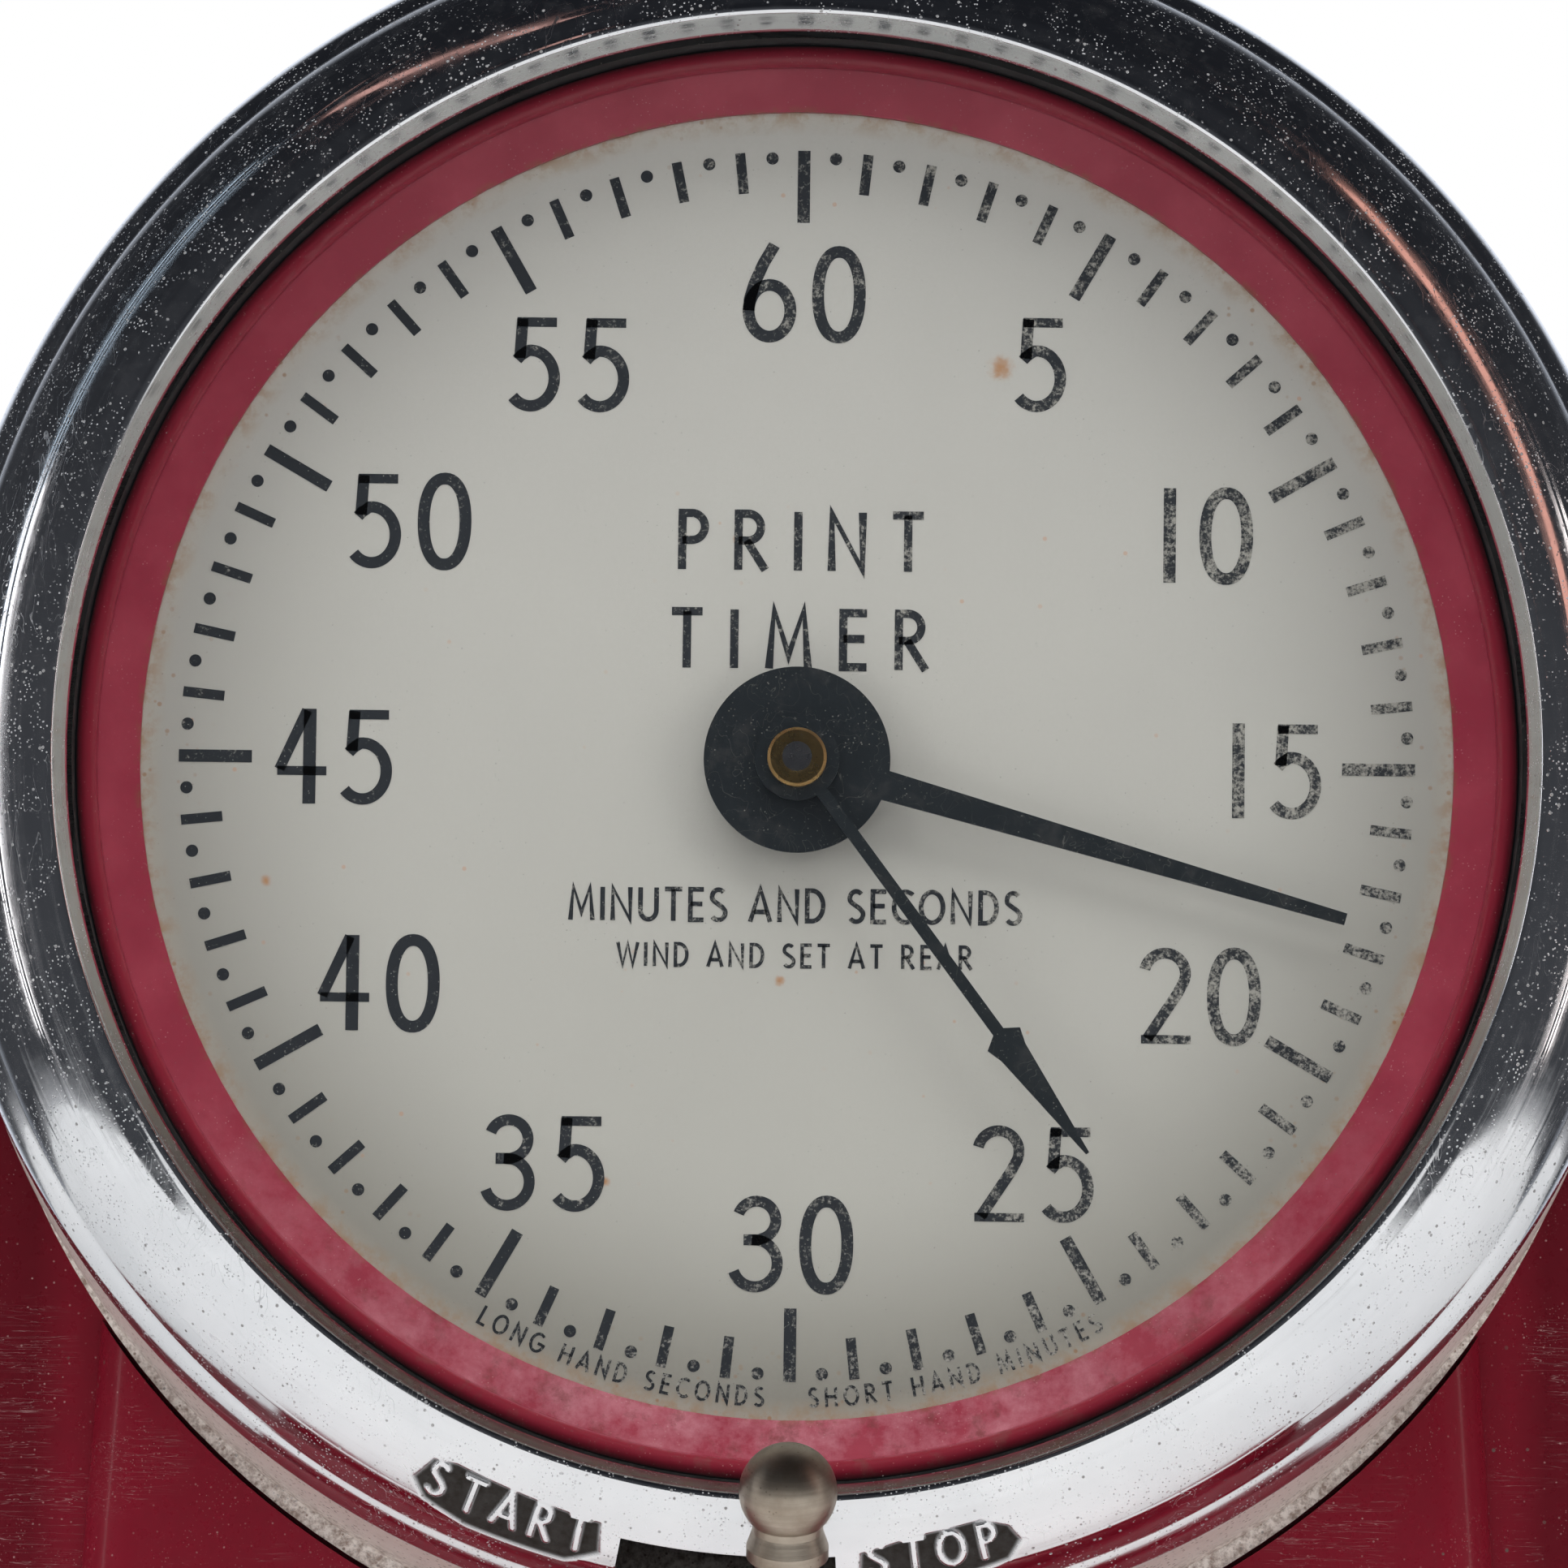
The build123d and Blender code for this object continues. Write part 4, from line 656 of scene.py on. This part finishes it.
ticks = Print()
for minute in range(60):
    inner, width = (36.9, 0.84) if minute % 5 == 0 else (39.05, 0.68)
    ticks.band([on_clock(inner, minute), on_clock(41.85, minute)], width)
    ticks.dot(*on_clock(41.35, minute + 0.5), 0.42)
ticks.done("dial_minute_track")


def figure_gap(before, after):
    if "1" in (before, after):
        return 0.25
    return 0.13 if before == "4" and after == "5" else 0.17


NUMERALS = {
    60: (32.0, 0.2), 5: (31.8, 30.6), 10: (31.9, 60.3), 15: (32.5, 90.3), 20: (31.5, 119.5),
    25: (32.1, 149.5), 30: (32.6, 179.8), 35: (32.0, 211.4), 40: (32.0, 241.5), 45: (31.4, 270.1),
    50: (31.0, 301.4), 55: (31.3, 329.6),
}
NUMERAL_HEIGHT, NUMERAL_STROKE = 6.45, 0.8
figures = Print()
for number, (distance, angle) in NUMERALS.items():
    cx, cy = on_clock(distance, angle / 6)
    strokes, width = layout(str(number), NUMERAL_HEIGHT, figure_gap, NUMERAL_STROKE)
    for thick, points in strokes:
        figures.band([(cx + x, cy + y) for x, y in points], thick)
figures.done("dial_numerals")

words = Print()
for text, x0, y0, height, span, stroke in (
    ("PRINT", 0.1, 15.1, 4.0, 16.6, 0.56),
    ("TIMER", 0.1, 8.4, 4.0, 17.4, 0.56),
    ("MINUTES AND SECONDS", 0.0, -9.7, 2.25, 30.6, 0.32),
    ("WIND AND SET AT REAR", 0.0, -13.1, 1.6, 24.0, 0.24),
):
    bare = layout(text, height, 0.0, stroke)[1]
    strokes, width = layout(text, height, (span - bare) / (len(text) - 1) / height, stroke)
    for thick, points in strokes:
        words.band([(x0 + x, y0 + y) for x, y in points], thick)
CURVE_RADIUS, CURVE_SPAN, CURVE_HEIGHT, CURVE_STROKE = 42.9, 43.5, 1.3, 0.2
text = "LONG HAND SECONDS   SHORT HAND MINUTES"
bare = layout(text, CURVE_HEIGHT, 0.0, CURVE_STROKE)[1]
gap = (CURVE_SPAN - bare) / (len(text) - 1) / CURVE_HEIGHT
strokes, width = layout(text, CURVE_HEIGHT, gap, CURVE_STROKE)


def bottom_curve(x, y):
    angle = x / CURVE_RADIUS
    return (CURVE_RADIUS - y) * math.sin(angle), -(CURVE_RADIUS - y) * math.cos(angle)


for thick, points in strokes:
    dense = []
    for a, b in zip(points, points[1:]):
        dense += [(a[0] + (b[0] - a[0]) * t / 3, a[1] + (b[1] - a[1]) * t / 3) for t in range(3)]
    dense.append(points[-1])
    words.band(dense, thick, bottom_curve)
words.done("dial_words")


# ---------------------------------------------------------------- bezel


def three_point(a, m, b, count):
    """Points of the arc through a, m and b, leaving out b."""
    (ax, ay), (mx, my), (bx, by) = a, m, b
    d = 2 * (ax * (my - by) + mx * (by - ay) + bx * (ay - my))
    ux = ((ax**2 + ay**2) * (my - by) + (mx**2 + my**2) * (by - ay) + (bx**2 + by**2) * (ay - my)) / d
    uy = ((ax**2 + ay**2) * (bx - mx) + (mx**2 + my**2) * (ax - bx) + (bx**2 + by**2) * (mx - ax)) / d
    r = math.hypot(ax - ux, ay - uy)
    start = math.atan2(ay - uy, ax - ux)
    middle = (math.atan2(my - uy, mx - ux) - start + math.pi) % (2 * math.pi) - math.pi
    sweep = (math.atan2(by - uy, bx - ux) - start + math.pi) % (2 * math.pi) - math.pi
    if abs(middle) > abs(sweep) or middle * sweep < 0:
        sweep -= math.copysign(2 * math.pi, sweep)
    turns = [start + sweep * i / count for i in range(count)]
    return [(ux + r * math.cos(turn), uy + r * math.sin(turn)) for turn in turns]


def straight(a, b, count):
    return [(a[0] + (b[0] - a[0]) * i / count, a[1] + (b[1] - a[1]) * i / count) for i in range(count)]


BACK = -10.0
DROP = 2.1
lip_in, shoulder = (48.9, 7.5), (51.5, 9.7)
crest_in, crest, crest_out = (49.55, 9.8), (49.95, 10.2), (50.25, 10.1)
flank_end, wall_top, wall_end = (57.1, 3.9), (58.79, 0.6), (58.79, -2.0)
flank_middle = (54.861, 7.342)
outer = straight(lip_in, crest_in, 6)
outer += three_point(crest_in, crest, crest_out, 8)
outer += straight(crest_out, shoulder, 6)
FLANK_STEPS = 60
flank_rows = three_point(shoulder, flank_middle, flank_end, FLANK_STEPS)
outer_flank_start = len(outer)
SLOT_IN, SLOT_OUT = 53.7, 55.7
for wanted in (SLOT_IN, SLOT_OUT):
    nearest = min(range(len(flank_rows)), key=lambda i: abs(flank_rows[i][0] - wanted))
    flank_rows[nearest] = (wanted, flank_rows[nearest][1])
outer += flank_rows
outer += three_point(flank_end, (58.3, 2.4), wall_top, 12)
outer += straight(wall_top, wall_end, 3)
outer += straight(wall_end, (58.5, BACK), 8) + [(58.5, BACK)]
inner = straight((57.5, BACK), (57.8, -2.0), 3) + [(57.8, -2.0), (57.8, 0.6), (56.2, 3.55), (56.0, 3.85)]
inner += [(54.16, 6.62), (53.4, 7.16), (51.15, 8.75), (50.45, 9.1), (50.1, 7.0), (48.9, 7.0)]
profile = outer + inner
inner_start = len(outer)
slot_rows = [i for i in range(outer_flank_start, inner_start) if profile[i][0] in (SLOT_IN, SLOT_OUT)]
inner_rows = [i for i, p in enumerate(profile) if i >= inner_start and p[0] in (56.0, 53.4)]

# in degrees anticlockwise from the right: the slot's sharp ends, and fine steps for the stamped words
SLOT_START, SLOT_END = 258.1, 273.4
angles = [a for a in np.arange(0.0, 360.0, 1.0) if not 240.5 < a < 288.5]
fine_steps = np.arange(240.5, 288.51, 0.1)
angles += [a for a in fine_steps if abs(a - SLOT_START) > 0.04 and abs(a - SLOT_END) > 0.04]
angles = sorted(angles + [SLOT_START, SLOT_END])
angle_array = np.array(angles)
rows = np.array(profile)
drops = np.clip((-2.0 - rows[:, 1]) / 8.0, 0, 1) * DROP

grid = np.zeros((len(rows), len(angles), 3))
cosines, sines = np.cos(np.radians(angle_array)), np.sin(np.radians(angle_array))
grid[:, :, 0] = rows[:, 0:1] * cosines
grid[:, :, 1] = rows[:, 0:1] * sines - drops[:, None]
grid[:, :, 2] = rows[:, 1:2]

# stamped words: a plaque sunk into the flank with letters left standing in it
STAMP_R = 54.15
LETTER_H = 3.0
LETTER_PITCH = 2.65
LETTER_NARROWING = 0.82
START_PLAQUE = [(-6.7, -0.7), (-5.9, 1.5), (-4.2, 1.95), (0.5, 1.75), (6.4, 1.4), (6.75, -1.3)]
START_PLAQUE += [(4.6, -2.9), (-2.2, -3.0), (-5.4, -2.2)]
STOP_PLAQUE = [(-4.9, 0.7), (-1.2, 1.6), (3.6, 1.9), (5.4, 0.9), (6.0, -0.6), (4.9, -2.2)]
STOP_PLAQUE += [(1.2, -2.9), (-4.4, -2.6), (-5.1, -1.3)]
along_profile = np.concatenate([[0], np.cumsum(np.hypot(*np.diff(rows[:inner_start], axis=0).T))])
flank_only = slice(outer_flank_start, outer_flank_start + FLANK_STEPS)
stamp_middle = np.interp(STAMP_R, rows[flank_only, 0], along_profile[flank_only])
flank = slice(outer_flank_start, outer_flank_start + FLANK_STEPS + 1)
tangent = np.gradient(rows[:inner_start], axis=0)[flank]
tangent /= np.linalg.norm(tangent, axis=1)[:, None]
outward = np.stack([-tangent[:, 1], tangent[:, 0]], axis=1)


def segment_distance(px, py, a, b):
    ax, ay, bx, by = *a, *b
    length = max((bx - ax) ** 2 + (by - ay) ** 2, 1e-9)
    t = np.clip(((px - ax) * (bx - ax) + (py - ay) * (by - ay)) / length, 0, 1)
    return np.hypot(px - ax - t * (bx - ax), py - ay - t * (by - ay))


def smooth(low, high, value):
    t = np.clip((value - low) / (high - low), 0, 1)
    return t * t * (3 - 2 * t)


stamped = np.zeros((len(rows), len(angles)))
generator = np.random.default_rng(7)
for text, middle, outline in (
    ("START", 249.8, START_PLAQUE),
    ("STOP", 280.3, STOP_PLAQUE),
):
    across = np.radians(angle_array - middle) * STAMP_R
    upward = stamp_middle - along_profile[flank]
    px, py = np.meshgrid(across, upward)
    edge = np.full(px.shape, 1e9)
    inside = np.zeros(px.shape, bool)
    for a, b in zip(outline, outline[1:] + outline[:1]):
        edge = np.minimum(edge, segment_distance(px, py, a, b))
        crosses = (a[1] > py) != (b[1] > py)
        slope = (b[0] - a[0]) * (py - a[1]) / ((b[1] - a[1]) or 1e-9) + a[0]
        inside ^= crosses & (px < slope)
    signed = np.where(inside, edge, -edge)
    sunk = smooth(-0.08, 0.34, signed)
    tilt_floor = 0.24 + 0.05 * py
    letters = np.full(px.shape, 1e9)
    for i, letter in enumerate(text):
        width, parts = CAPITALS[letter]
        shift = math.radians((i - (len(text) - 1) / 2) * LETTER_PITCH) * STAMP_R
        turn = 0.05 * (generator.random() - 0.5)
        lift = 0.1 * (generator.random() - 0.5)
        for part in parts:
            points = []
            for x, y in part:
                gx, gy = (x - width / 2) * LETTER_H * LETTER_NARROWING, (y - 0.5) * LETTER_H
                points.append((shift + gx - turn * gy, gy + turn * gx + lift))
            for a, b in zip(points, points[1:]):
                letters = np.minimum(letters, segment_distance(px, py, a, b))
    raised = 1 - smooth(0.13, 0.34, letters)
    height = -tilt_floor * sunk * (1 - raised) + 0.03 * raised * sunk
    grid[flank, :, 0] += height * outward[:, 0:1] * cosines
    grid[flank, :, 1] += height * outward[:, 0:1] * sines
    grid[flank, :, 2] += height * outward[:, 1:2]
    stamped[flank] = np.maximum(stamped[flank], sunk * (1 - raised))

columns = len(angles)
faces = []
cut_from, cut_to = angles.index(SLOT_START), angles.index(SLOT_END)
cut_outer = range(min(slot_rows), max(slot_rows))
cut_inner = range(min(inner_rows), max(inner_rows))
count = len(rows)
for i in range(count):
    after = (i + 1) % count
    for j in range(columns):
        beside = (j + 1) % columns
        if cut_from <= j < cut_to and (i in cut_outer or i in cut_inner):
            continue
        faces.append((i * columns + j, after * columns + j, after * columns + beside, i * columns + beside))
outer_a, outer_b = min(slot_rows), max(slot_rows)
inner_a, inner_b = max(inner_rows), min(inner_rows)
for j in range(cut_from, cut_to):
    near_out, near_in = outer_a * columns + j, inner_a * columns + j
    faces.append((near_out, near_out + 1, near_in + 1, near_in))
    far_out, far_in = outer_b * columns + j, inner_b * columns + j
    faces.append((far_out + 1, far_out, far_in, far_in + 1))
for j, turned in ((cut_from, False), (cut_to, True)):
    wall = [i * columns + j for i in (*range(outer_a, outer_b + 1), *range(inner_b, inner_a + 1))]
    faces.append(tuple(reversed(wall)) if turned else tuple(wall))
verts = [place(*p) for p in grid.reshape(-1, 3)]
bezel = link(
    "bezel_shell", verts, faces, make_chrome("bezel_chrome", stamped=True), "case", smooth=38,
)
sunk_share = bezel.data.attributes.new("stamped", "FLOAT", "POINT")
sunk_share.data.foreach_set("value", stamped.reshape(-1).astype(np.float32))
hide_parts("bezel")


# ---------------------------------------------------------------- studio

scene = bpy.context.scene
scene.view_settings.view_transform = "Standard"
scene.view_settings.look = "None"

floor_mesh = bpy.data.meshes.new("floor")
ring, centre_y = [], -0.02
FLOOR_RADIUS = 0.21
for i in range(96):
    a = 2 * math.pi * i / 96
    ring.append((FLOOR_RADIUS * math.cos(a), centre_y + FLOOR_RADIUS * math.sin(a), 0))
floor_mesh.from_pydata(ring, [], [tuple(range(96))])
floor = bpy.data.objects.new("floor", floor_mesh)
scene.collection.objects.link(floor)
paper = Shader("pale_floor")
paper_tone = paper.mix(paper.ramp(paper.noise(0.02, 3), 0.4, 0.6), (0.86, 0.86, 0.85), (0.82, 0.82, 0.81))
floor_mesh.materials.append(paper.finish(Base_Color=paper_tone, Roughness=0.9, Specular_IOR_Level=0.2))

world = bpy.data.worlds.new("studio")
scene.world = world
world.use_nodes = True
tree = world.node_tree
tree.nodes.clear()
coordinates = tree.nodes.new("ShaderNodeTexCoord").outputs["Generated"]
parts = tree.nodes.new("ShaderNodeSeparateXYZ")
tree.links.new(coordinates, parts.inputs[0])


def world_range(value, low, high, start, end):
    node = tree.nodes.new("ShaderNodeMapRange")
    node.interpolation_type = "SMOOTHSTEP"
    tree.links.new(value, node.inputs["Value"])
    for name, number in zip(("From Min", "From Max", "To Min", "To Max"), (low, high, start, end)):
        node.inputs[name].default_value = number
    return node.outputs["Result"]


def world_mix(share, a, b):
    node = tree.nodes.new("ShaderNodeMix")
    node.data_type = "RGBA"
    for socket, value in ((node.inputs["Factor"], share), (node.inputs["A"], a), (node.inputs["B"], b)):
        if isinstance(value, bpy.types.NodeSocket):
            tree.links.new(value, socket)
        elif socket.type == "RGBA":
            socket.default_value = (*value, 1)
        else:
            socket.default_value = value
    return next(o for o in node.outputs if o.type == "RGBA")


# a dark room above, a pale wall behind the object and pale paper below
dark = world_mix(
    world_range(parts.outputs[2], -0.1, 0.9, 0.0, 1.0), (0.05, 0.052, 0.058), (0.012, 0.013, 0.016),
)
behind = world_range(parts.outputs[1], 0.62, 0.9, 0.0, 1.0)
room = world_mix(behind, dark, (0.85, 0.9, 1.0))
below = world_range(parts.outputs[2], -0.3, -0.42, 0.0, 1.0)
room = world_mix(below, room, (0.82, 0.82, 0.83))
path = tree.nodes.new("ShaderNodeLightPath")
shown = world_mix(path.outputs["Is Camera Ray"], room, (1.0, 1.0, 1.0))
background = tree.nodes.new("ShaderNodeBackground")
tree.links.new(shown, background.inputs["Color"])
background.inputs["Strength"].default_value = 1.0
tree.links.new(background.outputs[0], tree.nodes.new("ShaderNodeOutputWorld").inputs["Surface"])


def lamp(name, where, aim, size, power, color=(1, 1, 1), seen=False):
    data = bpy.data.lights.new(name, "AREA")
    data.shape = "RECTANGLE"
    data.size, data.size_y = size
    data.energy = power
    data.color = color
    light = bpy.data.objects.new(name, data)
    scene.collection.objects.link(light)
    light.location = where
    light.rotation_mode = "QUATERNION"
    light.rotation_quaternion = (Vector(aim) - Vector(where)).to_track_quat("-Z", "Y")
    light.visible_glossy = seen
    return light


middle = Vector((0, 0, AXIS_Z))
lamp("top_box", (0.0, -0.35, 0.85), middle, (0.9, 0.7), 7.6)
lamp("left_box", (-0.75, -0.55, 0.35), middle, (0.5, 0.8), 3.1)
lamp("right_box", (0.75, -0.55, 0.35), middle, (0.5, 0.8), 3.1)
lamp("front_fill", (0.0, -1.1, 0.35), middle, (0.9, 0.6), 2.4)
lamp("left_strip", (-0.55, -0.12, 0.12), middle, (0.05, 0.4), 0.16, (1.0, 0.95, 0.94), seen=True)
lamp("right_strip", (0.55, -0.12, 0.12), middle, (0.05, 0.4), 0.16, (1.0, 0.9, 0.86), seen=True)
lamp("copper_card", (0.62, -0.3, 0.42), middle, (0.07, 0.6), 0.11, (1.0, 0.47, 0.36), seen=True)
lamp("rose_card", (-0.3, -0.28, 0.72), middle, (0.35, 0.03), 0.02, (1.0, 0.55, 0.47), seen=True)
lamp("blue_card", (-0.62, -0.1, 0.4), middle, (0.03, 0.6), 0.09, (0.7, 0.85, 1.0), seen=True)

# ---------------------------------------------------------------- camera

DISTANCE = 0.650
ELEVATION = math.radians(-5.2)
ROLL = math.radians(0.7)
VIEW_WIDTH = 0.10615
# the dial's middle, in pixels right of and below the middle of a square image
IMAGE_SIZE = 1932
DIAL_OFFSET = (16, -26)
camera_data = bpy.data.cameras.new("camera")
camera = bpy.data.objects.new("camera", camera_data)
scene.collection.objects.link(camera)
camera_data.sensor_width = 36.0
camera_data.lens = camera_data.sensor_width * DISTANCE / VIEW_WIDTH
camera_data.clip_start, camera_data.clip_end = 0.01, 20.0
target = place(0, 0, 0)
camera.location = target + DISTANCE * Vector((0, -math.cos(ELEVATION), math.sin(ELEVATION)))
camera.rotation_mode = "QUATERNION"
aim = (target - camera.location).to_track_quat("-Z", "Y")
roll = Matrix.Rotation(ROLL, 4, "Z").to_quaternion()
camera.rotation_quaternion = aim @ roll
camera_data.shift_x = -DIAL_OFFSET[0] / IMAGE_SIZE
camera_data.shift_y = DIAL_OFFSET[1] / IMAGE_SIZE
scene.camera = camera
